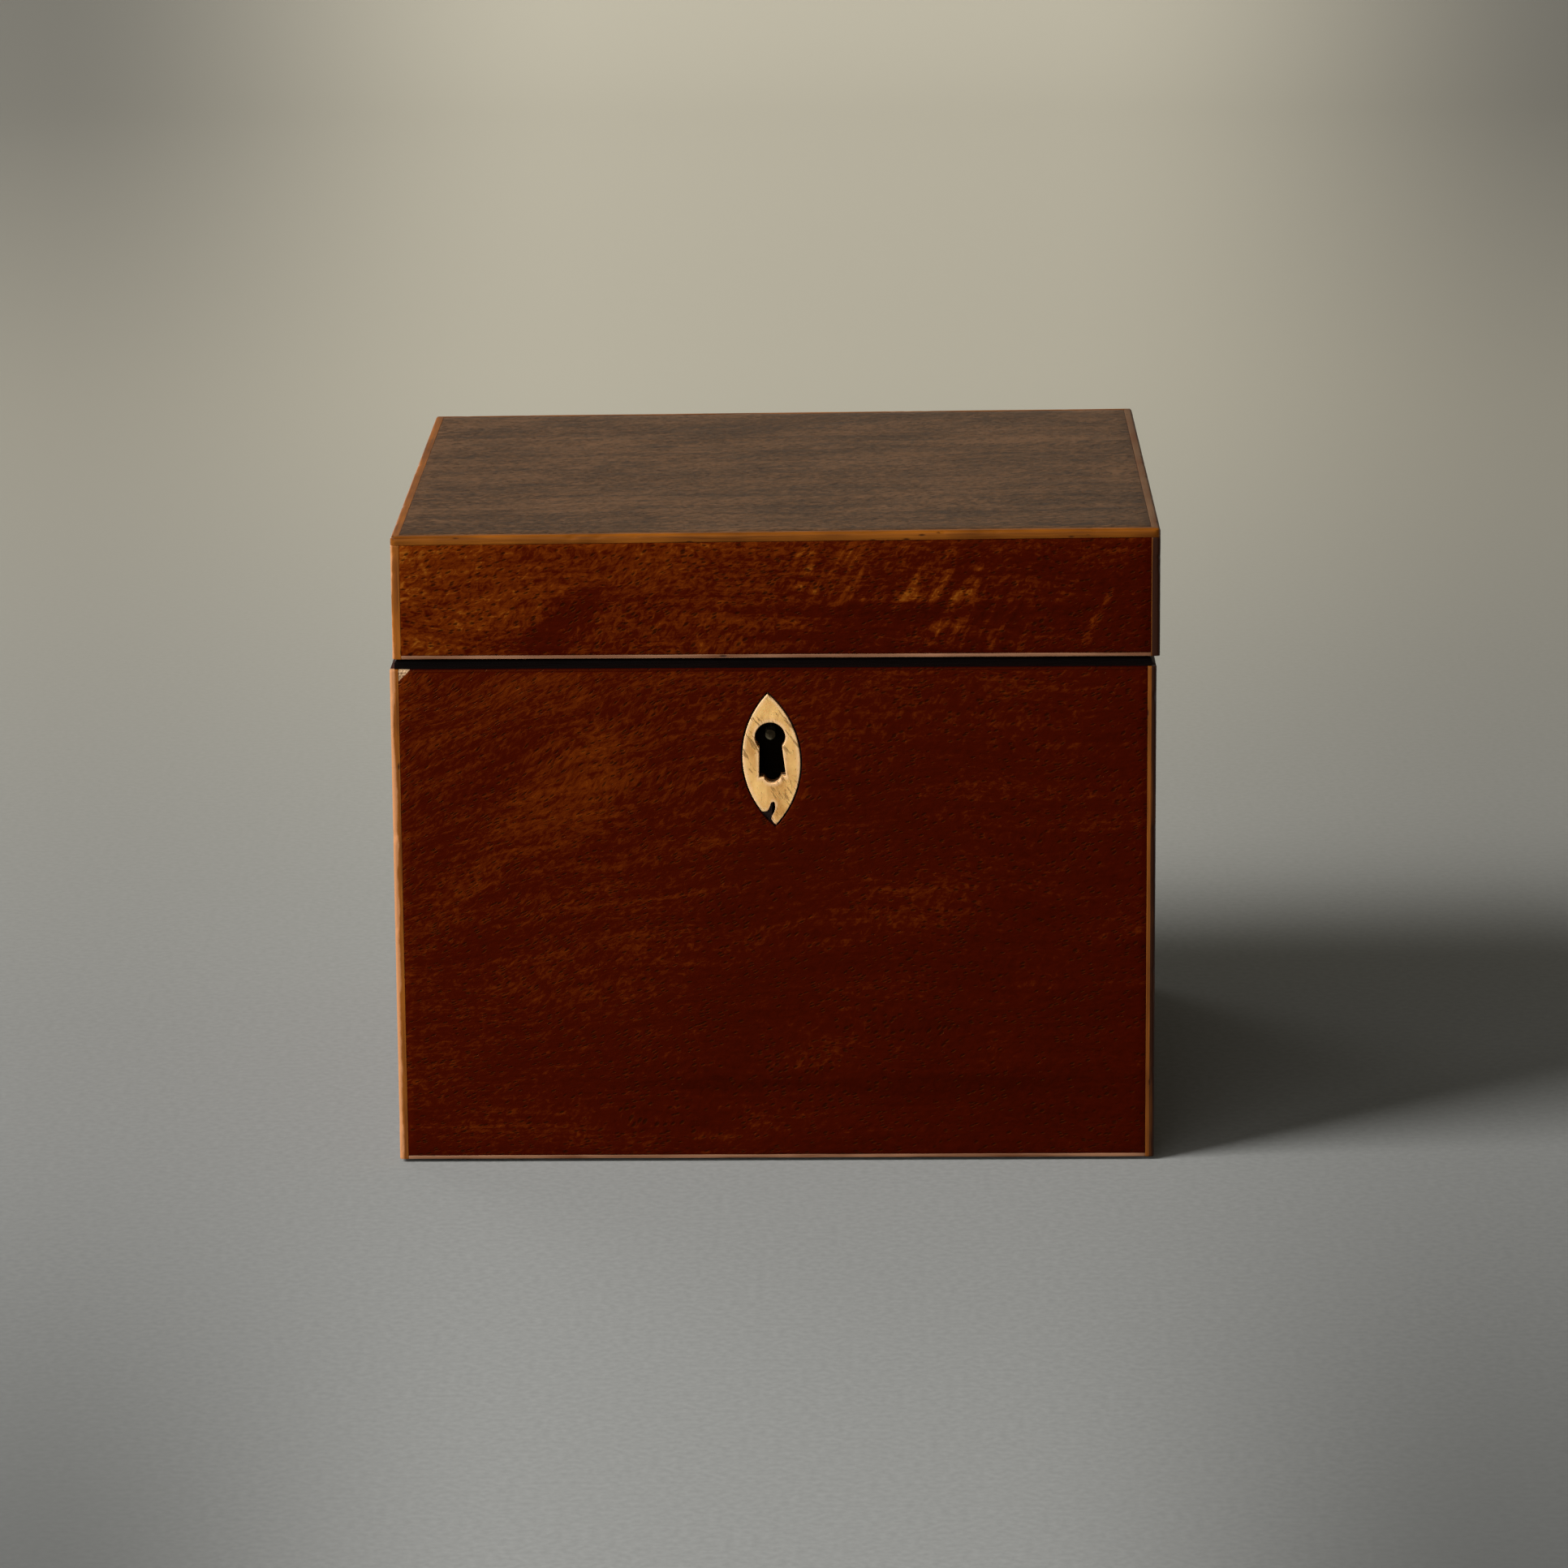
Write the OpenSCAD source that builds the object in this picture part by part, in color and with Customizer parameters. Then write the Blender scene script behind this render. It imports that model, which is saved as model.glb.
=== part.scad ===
// Veneered mahogany tea caddy with boxwood edging, an inlaid bone escutcheon,
// a box lock, two brass butt hinges, a foil-lined tea well and a lift-out inner lid.
// Millimetres, +Z up. The origin is the middle of the underside, the front faces -Y.

/* [Box] */
// Width over the side veneers
box_w = 120; // [112:1:132]
// Depth from the front face to the back face
box_d = 111; // [104:1:124]
// Height from the table to the top edge of the body's veneer
body_h = 80.1; // [79:0.1:95]
// Height of the lid's sides
lid_h = 19.9; // [18:0.1:26]
// How far the lid sits to the right of the body
lid_shift = 0.5; // [0:0.1:0.8]
// How much higher the lid's top is at its right edge than at its left
lid_rise = 0.75; // [0:0.05:1]

/* [Walls] */
// Thickness of the saw-cut veneer, and width of the boxwood strings let into its edges
veneer_t = 1.4; // [1.2:0.1:1.5]
// Thickness of a wall, board and veneer together
wall_t = 8; // [8:0.1:9]
// Thickness of the bottom board
base_t = 5.5; // [4:0.5:7]
// Thickness of the board under the lid's top veneer
lid_top_t = 5.2; // [4:0.2:6]
// Height of the fine string along the lower edges of the body and the lid
fine_string_h = 0.6; // [0.4:0.1:0.8]
// Radius worn on the outer arris of the strings
arris_r = 0.5; // [0.2:0.1:0.7]

/* [Rim] */
// Height of the rim strips that stand on the body's boards
rim_h = 1.5; // [1.5:0.1:2]
// How far the rim strips stand back from the veneer's face
rim_setback = 0.75; // [0.5:0.05:1]
// Gap between the rim and the closed lid
shut_gap = 0.2; // [0.1:0.05:0.4]

/* [Hinges] */
// Length of one butt hinge
hinge_len = 22; // [18:1:26]
// Distance of each hinge's middle from the middle of the box
hinge_x = 34; // [28:1:38]
// Distance of the hinge axis from the back face
hinge_inset = 2; // [1.9:0.1:2.2]
// Radius of the knuckles
knuckle_r = 1.6; // [1.4:0.1:1.7]
// Radius of the hinge pin
pin_r = 0.6; // [0.5:0.05:0.7]
// Slope of the bevels behind the hinge axis, which stop the open lid
bevel_deg = 50; // [49:1:52]

/* [Escutcheon and lock] */
// Height of the pointed oval escutcheon
escutcheon_h = 21.15; // [19:0.1:23]
// Width of the escutcheon
escutcheon_w = 9.05; // [8.5:0.05:10]
// Lean of the escutcheon, its top towards the left
escutcheon_lean = 3; // [0:0.5:4]
// Radius of the keyhole's round head
keyhole_r = 2.42; // [2.2:0.02:2.6]
// Radius of the pin that a pipe key slides over
key_pin_r = 0.8; // [0.6:0.05:0.9]
// How far the bolt slides to lock
bolt_travel = 2.9; // [2:0.1:2.9]

/* [Inside] */
// Height of the ledge that the inner lid rests on, from the table
ledge_z = 70; // [68:0.5:71]
// Thickness of the inner lid
inner_lid_t = 4; // [3:0.5:5]
// Clearance between the inner lid and the walls
inner_lid_gap = 0.6; // [0.4:0.1:1]
// Thickness of the lead foil that lines the well
foil_t = 0.3; // [0.2:0.1:0.5]

/* [Hidden] */
$fn = 64;
baize_t = 0.5;
string_w = veneer_t;

half_w = box_w / 2;
half_d = box_d / 2;
core_w = half_w - veneer_t;      // the boards' outer faces
core_d = half_d - veneer_t;
well_w = half_w - wall_t;        // the boards' inner faces
well_d = half_d - wall_t;
base_top = baize_t + base_t;
side_z = baize_t + fine_string_h; // lower edge of the body's veneer

rim_top = body_h + rim_h;
lid_z = rim_top + shut_gap;
lid_top = lid_z + lid_h;
lid_cap_z = lid_top - string_w;   // underside of the top veneer and its strings
lid_well_z = lid_cap_z - lid_top_t;
lid_side_z = lid_z + fine_string_h;
cap_room = 1;

axis_y = half_d - hinge_inset;
axis_z = rim_top + shut_gap / 2;
leaf_t = 1;
leaf_w = 5.4;
knuckles = 5;
knuckle_gap = 0.1;
hinge_relief = 0.2;               // air round a turning knuckle
hinge_running = 0.05;             // air between the pin and a turning knuckle
hinge_screw_y = axis_y - 3.6;
hinge_screw_x = [-7.5, 0, 7.5];

screw_head_r = 1.4;
screw_head_h = 0.8;
screw_shank_r = 0.7;
slot_w = 0.4;
slot_h = 0.3;

key_x = -0.75;                    // the key pin's axis
key_z = body_h - 11.1;
escutcheon_drop = 3.53;           // from the key pin down to the oval's middle
keyhole_neck = 1.73;              // half widths and heights of the keyhole's skirt
keyhole_hem = 2.13;
keyhole_hem_z = -6.3;
keyhole_lobe_r = 1.37;
keyhole_bottom = -7.35;

lock_w = 16.5;                    // half widths of the lock's plate and case
case_w = 13;
lock_in = -half_d + wall_t;       // the lock plate's face, flush inside the wall
plate_t = 0.8;
case_wall = 0.6;
case_front = -half_d + 2.9;
selvedge_front = -half_d + 2.5;
lock_low = body_h - 20.1;
case_low = lock_low + 1.2;
selvedge_z = rim_top - plate_t;
bolt_y = [lock_in - 2.8, lock_in - 1];
bolt_z = [body_h - 8.3, body_h - 5.5];
hook_y = [lock_in - 2.6, lock_in - 1.2];
hook_low = body_h - 5.1;
toe_h = 1.5;
hook_xs = [-8.5, 4.5];            // middle of each hook
hook_left = -3;                   // along X from a hook's middle
stem_w = 1.5;
toe_right = 1.2;
finger_tip = toe_right + 0.5;
finger_l = bolt_travel + 0.6;
upright_w = 1.6;
finger_z = [hook_low + 1.9, hook_low + 3.5];
spring_r = 6.1;
spring_t = 0.4;
spring_x = 6.2;

ledge_w = 3;
ledge_joint = 0.1;                // open joint between neighbouring strips
knob_r = 3;
knob_h = 8;

mahogany = [0.36, 0.13, 0.06];
mahogany_top = [0.42, 0.24, 0.15];
carcase = [0.45, 0.26, 0.14];
dark_rim = [0.16, 0.06, 0.03];
boxwood = [0.75, 0.5, 0.25];
bone = [0.88, 0.8, 0.62];
brass = [0.72, 0.55, 0.27];
steel = [0.5, 0.5, 0.5];
foil = [0.45, 0.46, 0.48];
baize = [0.12, 0.3, 0.17];

FRONT = 0;                        // the sides, a quarter turn apart
RIGHT = 1;
BACK = 2;
LEFT = 3;

// ---- helpers ----

// A block between two opposite corners.
module block(low, high) {
    translate(low) cube(high - low);
}

// Draws an outline of (y, z) points, extruded along X.
module prism_x(length) {
    rotate([90, 0, 90]) linear_extrude(length, center = true) children();
}

// Draws an outline of (x, z) points, extruded along Y from y0 to y1.
module prism_y(y0, y1) {
    translate([0, y1, 0]) rotate([90, 0, 0]) linear_extrude(y1 - y0) children();
}

// Turns a piece drawn for the front to another side; reach is where the front face lies.
module on_side(side) {
    reach = side % 2 == 0 ? half_d : half_w;
    rotate([0, 0, 90 * side]) translate([0, -reach, 0]) children();
}

// The half length of a side, measured at the outer faces.
function side_half(side) = side % 2 == 0 ? half_w : half_d;

// A piece drawn at the front left corner, mirrored to the corner (sx, sy).
module at_corner(sx, sy) {
    translate([sx * half_w, sy * half_d, 0])
        mirror([sx > 0 ? 1 : 0, 0, 0])
            mirror([0, sy > 0 ? 1 : 0, 0])
                children();
}

module on_body() {
    translate([-lid_shift / 2, 0, 0]) children();
}

module on_lid() {
    translate([lid_shift / 2, 0, 0]) children();
}

// Tilts the lid's top layer, which rises to the right, about the middle of its underside.
module on_cap() {
    translate([0, 0, lid_cap_z]) rotate([0, -atan(lid_rise / box_w), 0])
        translate([0, 0, -lid_cap_z]) children();
}

// Trims what is drawn up to cap_room above the top layer's underside back to that layer.
module under_cap() {
    difference() {
        children();
        on_cap() block([-box_w, -box_d, lid_cap_z], [box_w, box_d, lid_cap_z + 4 * cap_room]);
    }
}

// A strip's section, its face at x = 0 and its upper face at y = h, with that arris rounded.
module strip_section(w, h, r) {
    translate([r, 0]) square([w - r, h]);
    square([w, h - r]);
    translate([r, h - r]) circle(r);
}

// A strip along X, its face at y = 0 and its foot at z = 0, mitred to meet its neighbours.
module mitred_strip(half_l, w, h, r) {
    intersection() {
        prism_x(2 * half_l) strip_section(w, h, r);
        linear_extrude(h)
            polygon([[-half_l, 0], [half_l, 0], [half_l - w, w], [w - half_l, w]]);
    }
}

// The V behind the hinge axis: its faces meet when the lid is open and stop it.
module bevel_v() {
    run = hinge_inset + 1;
    rise = run * tan(bevel_deg);
    prism_x(box_w + 10)
        polygon([[axis_y, axis_z], [axis_y + run, axis_z - rise], [axis_y + run, axis_z + rise]]);
}

module cylinder_x(r, length) {
    rotate([0, 90, 0]) cylinder(r = r, h = length, center = true);
}

// A countersunk wood screw, its head's face at the origin and its point along -Z.
module screw(length) {
    difference() {
        union() {
            translate([0, 0, -screw_head_h])
                cylinder(r1 = screw_shank_r, r2 = screw_head_r, h = screw_head_h);
            translate([0, 0, -length]) cylinder(r = screw_shank_r, h = length);
        }
        translate([-screw_head_r, -slot_w / 2, -slot_h])
            cube([2 * screw_head_r, slot_w, slot_h + 1]);
    }
}

// The hole that a screw fills.
module screw_hole(length) {
    translate([0, 0, -screw_head_h])
        cylinder(r1 = screw_shank_r, r2 = screw_head_r, h = screw_head_h);
    translate([0, 0, -length]) cylinder(r = screw_shank_r, h = length);
}

// ---- hinges ----

module each_hinge_screw(sides = [-1, 1]) {
    for (side = sides)
        for (x = hinge_screw_x)
            translate([side * hinge_x + x, hinge_screw_y, 0]) children();
}

// Screws go down into the body and up into the lid.
module body_hinge_screw_places() {
    each_hinge_screw() translate([0, 0, rim_top]) children();
}

module lid_hinge_screw_places() {
    each_hinge_screw() translate([0, 0, lid_z]) mirror([0, 0, 1]) children();
}

// Room in the wood for both hinges: z0 is the lower face of the leaf let in there.
module hinge_pockets(z0) {
    for (side = [-1, 1])
        translate([side * hinge_x, 0, 0]) {
            block([-hinge_len / 2, axis_y - leaf_w, z0], [hinge_len / 2, axis_y, z0 + leaf_t]);
            translate([0, axis_y, axis_z])
                cylinder_x(knuckle_r + hinge_relief, hinge_len + 2 * knuckle_gap);
        }
}

// One leaf, with knuckles first, first + 2 and so on, and its plate's lower face at z0.
module hinge_leaf(first, z0, bore_r) {
    pitch = hinge_len / knuckles;
    difference() {
        union() {
            block([-hinge_len / 2, axis_y - leaf_w, z0],
                  [hinge_len / 2, axis_y - knuckle_r - hinge_relief, z0 + leaf_t]);
            for (k = [first : 2 : knuckles - 1]) {
                mid = (k + 0.5) * pitch - hinge_len / 2;
                half = (pitch - knuckle_gap) / 2;
                translate([mid, axis_y, axis_z]) cylinder_x(knuckle_r, 2 * half);
                block([mid - half, axis_y - leaf_w, z0], [mid + half, axis_y, z0 + leaf_t]);
            }
        }
        translate([0, axis_y, axis_z]) cylinder_x(bore_r, hinge_len + 2);
    }
}

module hinge_leaf_body(side) {
    color(brass) difference() {
        translate([side * hinge_x, 0, 0]) hinge_leaf(0, rim_top - leaf_t, pin_r);
        body_hinge_screw_places() screw_hole(6);
    }
}

module hinge_leaf_lid(side) {
    color(brass) difference() {
        translate([side * hinge_x, 0, 0]) hinge_leaf(1, lid_z, pin_r + hinge_running);
        lid_hinge_screw_places() screw_hole(6);
    }
}

module hinge_pin(side) {
    color(steel) translate([side * hinge_x, axis_y, axis_z]) cylinder_x(pin_r, hinge_len);
}

module hinge_screws_body() {
    color(brass) body_hinge_screw_places() screw(6);
}

module hinge_screws_lid() {
    color(brass) lid_hinge_screw_places() screw(6);
}

// ---- escutcheon and keyhole ----

// Places an outline, drawn round the key pin's axis, on the front and leans it.
module at_key() {
    translate([key_x, key_z]) rotate(escutcheon_lean) children();
}

// Round head, flaring skirt and a shallow lobe at the bottom.
module keyhole_outline() {
    circle(keyhole_r);
    polygon([
        [-keyhole_neck, 0], [keyhole_neck, 0],
        [keyhole_hem, keyhole_hem_z], [-keyhole_hem, keyhole_hem_z]
    ]);
    translate([0, keyhole_bottom + keyhole_lobe_r]) circle(keyhole_lobe_r);
}

// Two equal arcs that meet in points at the top and the bottom.
module pointed_oval() {
    r = (pow(escutcheon_h, 2) + pow(escutcheon_w, 2)) / (4 * escutcheon_w);
    shift = r - escutcheon_w / 2;
    translate([0, -escutcheon_drop]) intersection() {
        translate([shift, 0]) circle(r, $fn = 128);
        translate([-shift, 0]) circle(r, $fn = 128);
    }
}

// Chip lost from the left of the lower point, down from the crack above it.
module lost_chip() {
    low = -escutcheon_drop - escutcheon_h / 2;
    polygon([[-3, low + 2.3], [-1.5, low + 2.24], [-1.18, low + 2.3], [-0.79, low + 2.85],
             [-0.54, low + 3.5], [-0.23, low + 3.75], [0.1, low + 3.6], [0.15, low + 2.8],
             [-0.05, low + 2.05], [-0.56, low + 1.05], [-0.45, low + 0.75],
             [0.06, low + 0.05], [0.06, low - 1], [-3, low - 1]]);
}

module keyhole_cut(y0, y1) {
    prism_y(y0, y1) at_key() keyhole_outline();
}

module escutcheon() {
    color(bone) prism_y(-half_d, -half_d + veneer_t) at_key() difference() {
        pointed_oval();
        keyhole_outline();
        lost_chip();
    }
}

// ---- lock ----

// Room for the lock in the front board and the rim.
module lock_pocket() {
    block([-case_w, case_front, case_low], [case_w, lock_in + 1, rim_top]);
    block([-lock_w, lock_in - plate_t, lock_low], [lock_w, lock_in + 1, rim_top]);
    block([-lock_w, selvedge_front, selvedge_z], [lock_w, lock_in + 1, rim_top + 1]);
}

module lock_screw_places() {
    for (x = [-1, 1] * (lock_w + case_w) / 2)
        for (z = [lock_low + 4, lock_low + 17])
            translate([x, lock_in, z]) rotate([-90, 0, 0]) children();
}

// Back plate flush with the wall's inner face, and the selvedge with the hooks' slots.
module lock_plate() {
    air = 0.4;
    color(brass) difference() {
        union() {
            block([-lock_w, lock_in - plate_t, lock_low], [lock_w, lock_in, rim_top]);
            block([-lock_w, selvedge_front, selvedge_z], [lock_w, lock_in, rim_top]);
        }
        for (x = hook_xs)
            block([x + hook_left - air, hook_y[0] - air - 0.1, selvedge_z - 1],
                  [x + toe_right + air, hook_y[1] + air - 0.1, rim_top + 1]);
        lock_screw_places() screw_hole(3.6);
        translate([key_x, lock_in, key_z]) rotate([90, 0, 0])
            cylinder(r = key_pin_r * 0.6, h = 3, center = true);
    }
}

module lock_cap() {
    color(brass) difference() {
        block([-case_w, case_front, case_low], [case_w, lock_in - plate_t, selvedge_z]);
        block([-case_w + case_wall, case_front + case_wall, case_low + case_wall],
              [case_w - case_wall, lock_in, selvedge_z + 1]);
        keyhole_cut(case_front - 1, case_front + case_wall + 1);
    }
}

// A bar with a talon for the key's bit, and two fingers that slide over the hooks' toes.
module lock_bolt() {
    color(steel) difference() {
        union() {
            block([hook_xs[0] - 0.5, bolt_y[0], bolt_z[0]],
                  [hook_xs[1] + finger_tip + finger_l + upright_w, bolt_y[1], bolt_z[1]]);
            for (x = hook_xs) {
                root = x + finger_tip + finger_l;
                block([root, bolt_y[0], bolt_z[0]], [root + upright_w, bolt_y[1], finger_z[1]]);
                block([x + finger_tip, bolt_y[0], finger_z[0]],
                      [root + upright_w, bolt_y[1], finger_z[1]]);
            }
        }
        block([-2.2, bolt_y[0] - 1, bolt_z[0] - 1], [1.4, bolt_y[1] + 1, bolt_z[0] + 1.4]);
    }
}

// A leaf spring: a foot against the case's end, and a quarter bow under the bolt.
module lock_spring() {
    bow_z = bolt_z[0] - 0.2 - spring_r;
    foot_z = case_low + case_wall;
    color(steel) prism_y(lock_in - plate_t - 1.8, lock_in - plate_t) {
        translate([spring_x, bow_z]) intersection() {
            difference() {
                circle(spring_r);
                circle(spring_r - spring_t);
            }
            square(spring_r + 1);
        }
        translate([spring_x + spring_r - spring_t, foot_z]) square([spring_t, bow_z - foot_z]);
    }
}

// Shouldered pin, riveted through the plate.
module lock_key_pin() {
    tip_in = 2.4;
    color(steel) translate([key_x, 0, key_z]) rotate([90, 0, 0]) {
        translate([0, 0, -(lock_in - plate_t)])
            cylinder(r = key_pin_r, h = lock_in - plate_t + half_d - tip_in);
        translate([0, 0, -lock_in]) cylinder(r = key_pin_r * 0.6, h = plate_t);
    }
}

module lock_screws() {
    color(brass) lock_screw_places() screw(3.6);
}

module link_screw_places() {
    for (x = [-1, 1] * (lock_w + case_w) / 2)
        translate([x, (selvedge_front + lock_in) / 2, lid_z]) mirror([0, 0, 1]) children();
}

module link_plate() {
    color(brass) {
        difference() {
            block([-lock_w, selvedge_front, lid_z], [lock_w, lock_in - 0.4, lid_z + plate_t]);
            link_screw_places() screw_hole(6);
        }
        for (x = hook_xs) {
            left = x + hook_left;
            block([left, hook_y[0], hook_low], [left + stem_w, hook_y[1], lid_z]);
            block([left, hook_y[0], hook_low], [x + toe_right, hook_y[1], hook_low + toe_h]);
        }
    }
}

module link_screws() {
    color(brass) link_screw_places() screw(6);
}

// ---- body ----

module base_baize() {
    inset = 3;
    color(baize) on_body()
        block([inset - half_w, inset - half_d, 0], [half_w - inset, half_d - inset, baize_t]);
}

module base_board() {
    color(carcase) on_body() block([-core_w, -core_d, baize_t], [core_w, core_d, base_top]);
}

module front_board() {
    color(carcase) difference() {
        on_body() block([-core_w, -core_d, base_top], [core_w, -well_d, body_h]);
        lock_pocket();
        lock_screw_places() screw_hole(3.6);
        keyhole_cut(-half_d - 1, case_front + 1);
    }
}

module back_board() {
    color(carcase) difference() {
        on_body() block([-core_w, well_d, base_top], [core_w, core_d, body_h]);
        hinge_pockets(rim_top - leaf_t);
        body_hinge_screw_places() screw_hole(6);
    }
}

module side_board(sx) {
    color(carcase) on_body() mirror([sx < 0 ? 1 : 0, 0, 0])
        block([well_w, -well_d, base_top], [core_w, well_d, body_h]);
}

// Thin foil over the well's floor and walls, up to the ledge.
module foil_lining() {
    color(foil) on_body() difference() {
        block([-well_w, -well_d, base_top], [well_w, well_d, ledge_z - ledge_w]);
        block([foil_t - well_w, foil_t - well_d, base_top + foil_t],
              [well_w - foil_t, well_d - foil_t, ledge_z]);
    }
}

module ledge_strips() {
    color(carcase) on_body() for (s = [-1, 1]) {
        mirror([0, s < 0 ? 1 : 0, 0])
            block([-well_w, well_d - ledge_w, ledge_z - ledge_w], [well_w, well_d, ledge_z]);
        mirror([s < 0 ? 1 : 0, 0, 0])
            block([well_w - ledge_w, ledge_w + ledge_joint - well_d, ledge_z - ledge_w],
                  [well_w, well_d - ledge_w - ledge_joint, ledge_z]);
    }
}

// The repaired corner at the left of the body's front.
module patch_outline() {
    patch = 1.8;
    left = -core_w - lid_shift / 2;
    polygon([[left, body_h], [left + patch, body_h], [left, body_h - patch]]);
}

module corner_patch() {
    color(boxwood) prism_y(-half_d, -half_d + veneer_t) patch_outline();
}

module body_veneer(side) {
    half_l = side_half(side) - veneer_t;
    color(mahogany) difference() {
        on_body() on_side(side) block([-half_l, 0, side_z], [half_l, veneer_t, body_h]);
        if (side == FRONT)
            prism_y(-half_d - 1, -half_d + veneer_t + 1) {
                at_key() pointed_oval();
                patch_outline();
            }
        if (side == BACK) {
            bevel_v();
            hinge_pockets(rim_top - leaf_t);
        }
    }
}

module corner_string(sx, sy) {
    color(boxwood) difference() {
        on_body() at_corner(sx, sy) upright_string(baize_t, body_h);
        if (sy > 0) bevel_v();
    }
}

// A square string with its outer corner rounded, from z0 to z1.
module upright_string(z0, z1) {
    translate([0, string_w, z0]) mirror([0, 1, 0])
        linear_extrude(z1 - z0) strip_section(string_w, string_w, arris_r);
}

module base_strings() {
    color(boxwood) on_body() for (side = [FRONT : LEFT])
        on_side(side) block([veneer_t - side_half(side), 0, baize_t],
                            [side_half(side) - veneer_t, veneer_t, side_z]);
}

module rim_strip(side) {
    half_l = side_half(side) - rim_setback;
    color(dark_rim) difference() {
        on_body() on_side(side) translate([0, rim_setback, body_h])
            mitred_strip(half_l, wall_t - rim_setback, rim_h, 0.6);
        if (side == FRONT) lock_pocket();
        if (side != FRONT) bevel_v();
        if (side == BACK) {
            hinge_pockets(rim_top - leaf_t);
            body_hinge_screw_places() screw_hole(6);
        }
    }
}

// ---- inner lid ----

module inner_lid() {
    w = well_w - inner_lid_gap;
    d = well_d - inner_lid_gap;
    color(mahogany) on_body() difference() {
        block([-w, -d, ledge_z], [w, d, ledge_z + inner_lid_t]);
        translate([0, 0, ledge_z - 1]) cylinder(r = knob_r / 2, h = inner_lid_t + 2);
    }
}

// A turned knob: spigot through the lid, collar, neck and ball.
module inner_lid_knob() {
    top = ledge_z + inner_lid_t;
    color(bone) on_body() rotate_extrude() intersection() {
        union() {
            translate([0, ledge_z]) square([knob_r / 2, inner_lid_t]);
            translate([0, top]) square([knob_r + 1, 0.8]);
            translate([0, top]) square([knob_r * 0.55, knob_h - knob_r]);
            translate([0, top + knob_h - knob_r]) circle(knob_r);
        }
        translate([0, ledge_z]) square([knob_r + 2, inner_lid_t + knob_h]);
    }
}

// ---- lid ----

module lid_front_board() {
    color(carcase) difference() {
        on_lid() block([-core_w, -core_d, lid_z], [core_w, -well_d, lid_well_z]);
        block([-lock_w, selvedge_front, lid_z - 1], [lock_w, lock_in - 0.4, lid_z + plate_t]);
        link_screw_places() screw_hole(6);
    }
}

module lid_back_board() {
    color(carcase) difference() {
        on_lid() block([-core_w, well_d, lid_z], [core_w, core_d, lid_well_z]);
        bevel_v();
        hinge_pockets(lid_z);
        lid_hinge_screw_places() screw_hole(6);
    }
}

module lid_side_board(sx) {
    color(carcase) on_lid() mirror([sx < 0 ? 1 : 0, 0, 0])
        block([well_w, -well_d, lid_z], [core_w, well_d, lid_well_z]);
}

module lid_top_board() {
    color(carcase) on_lid() under_cap()
        block([-core_w, -core_d, lid_well_z], [core_w, core_d, lid_cap_z + cap_room]);
}

module lid_lining() {
    color(baize) on_lid()
        block([0.4 - well_w, 0.4 - well_d, lid_well_z - 0.6], [well_w - 0.4, well_d - 0.4, lid_well_z]);
}

module lid_veneer(side) {
    half_l = side_half(side) - veneer_t;
    color(mahogany) difference() {
        on_lid() under_cap() on_side(side)
            block([-half_l, 0, lid_side_z], [half_l, veneer_t, lid_cap_z + cap_room]);
        if (side != FRONT) bevel_v();
        if (side == BACK) hinge_pockets(lid_z);
    }
}

module lid_top_veneer() {
    w = half_w - string_w;
    d = half_d - string_w;
    color(mahogany_top) on_lid() on_cap() block([-w, -d, lid_cap_z], [w, d, lid_top]);
}

module lid_top_string(side) {
    color(boxwood) on_lid() on_cap() on_side(side) translate([0, 0, lid_cap_z])
        mitred_strip(side_half(side), string_w, string_w, arris_r);
}

module lid_corner_strings() {
    color(boxwood) difference() {
        on_lid() under_cap() for (sx = [-1, 1])
            for (sy = [-1, 1])
                at_corner(sx, sy) upright_string(lid_z, lid_cap_z + cap_room);
        bevel_v();
    }
}

// The back has no fine string, because the bevel takes that edge.
module lid_base_strings() {
    color(boxwood) difference() {
        on_lid() for (side = [FRONT, RIGHT, LEFT])
            on_side(side) block([veneer_t - side_half(side), 0, lid_z],
                                [side_half(side) - veneer_t, veneer_t, lid_side_z]);
        bevel_v();
    }
}

base_baize();
base_board();
front_board();
side_board(1);  // right_board
back_board();
side_board(-1);  // left_board
foil_lining();
ledge_strips();
body_veneer(FRONT);  // front_veneer
body_veneer(RIGHT);  // right_veneer
body_veneer(BACK);  // back_veneer
body_veneer(LEFT);  // left_veneer
corner_string(-1, -1);  // corner_string_front_left
corner_string(1, -1);  // corner_string_front_right
corner_string(1, 1);  // corner_string_back_right
corner_string(-1, 1);  // corner_string_back_left
base_strings();
rim_strip(FRONT);  // rim_strip_front
rim_strip(RIGHT);  // rim_strip_right
rim_strip(BACK);  // rim_strip_back
rim_strip(LEFT);  // rim_strip_left
corner_patch();
escutcheon();
lock_plate();
lock_cap();
lock_bolt();
lock_spring();
lock_key_pin();
lock_screws();
hinge_leaf_body(-1);  // hinge_leaf_body_left
hinge_leaf_body(1);  // hinge_leaf_body_right
hinge_leaf_lid(-1);  // hinge_leaf_lid_left
hinge_leaf_lid(1);  // hinge_leaf_lid_right
hinge_pin(-1);  // hinge_pin_left
hinge_pin(1);  // hinge_pin_right
hinge_screws_body();
hinge_screws_lid();
inner_lid();
inner_lid_knob();
lid_front_board();
lid_side_board(1);  // lid_right_board
lid_back_board();
lid_side_board(-1);  // lid_left_board
lid_top_board();
lid_lining();
lid_veneer(FRONT);  // lid_front_veneer
lid_veneer(RIGHT);  // lid_right_veneer
lid_veneer(BACK);  // lid_back_veneer
lid_veneer(LEFT);  // lid_left_veneer
lid_top_veneer();
lid_top_string(FRONT);  // lid_top_string_front
lid_top_string(RIGHT);  // lid_top_string_right
lid_top_string(BACK);  // lid_top_string_back
lid_top_string(LEFT);  // lid_top_string_left
lid_corner_strings();
lid_base_strings();
link_plate();
link_screws();
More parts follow.
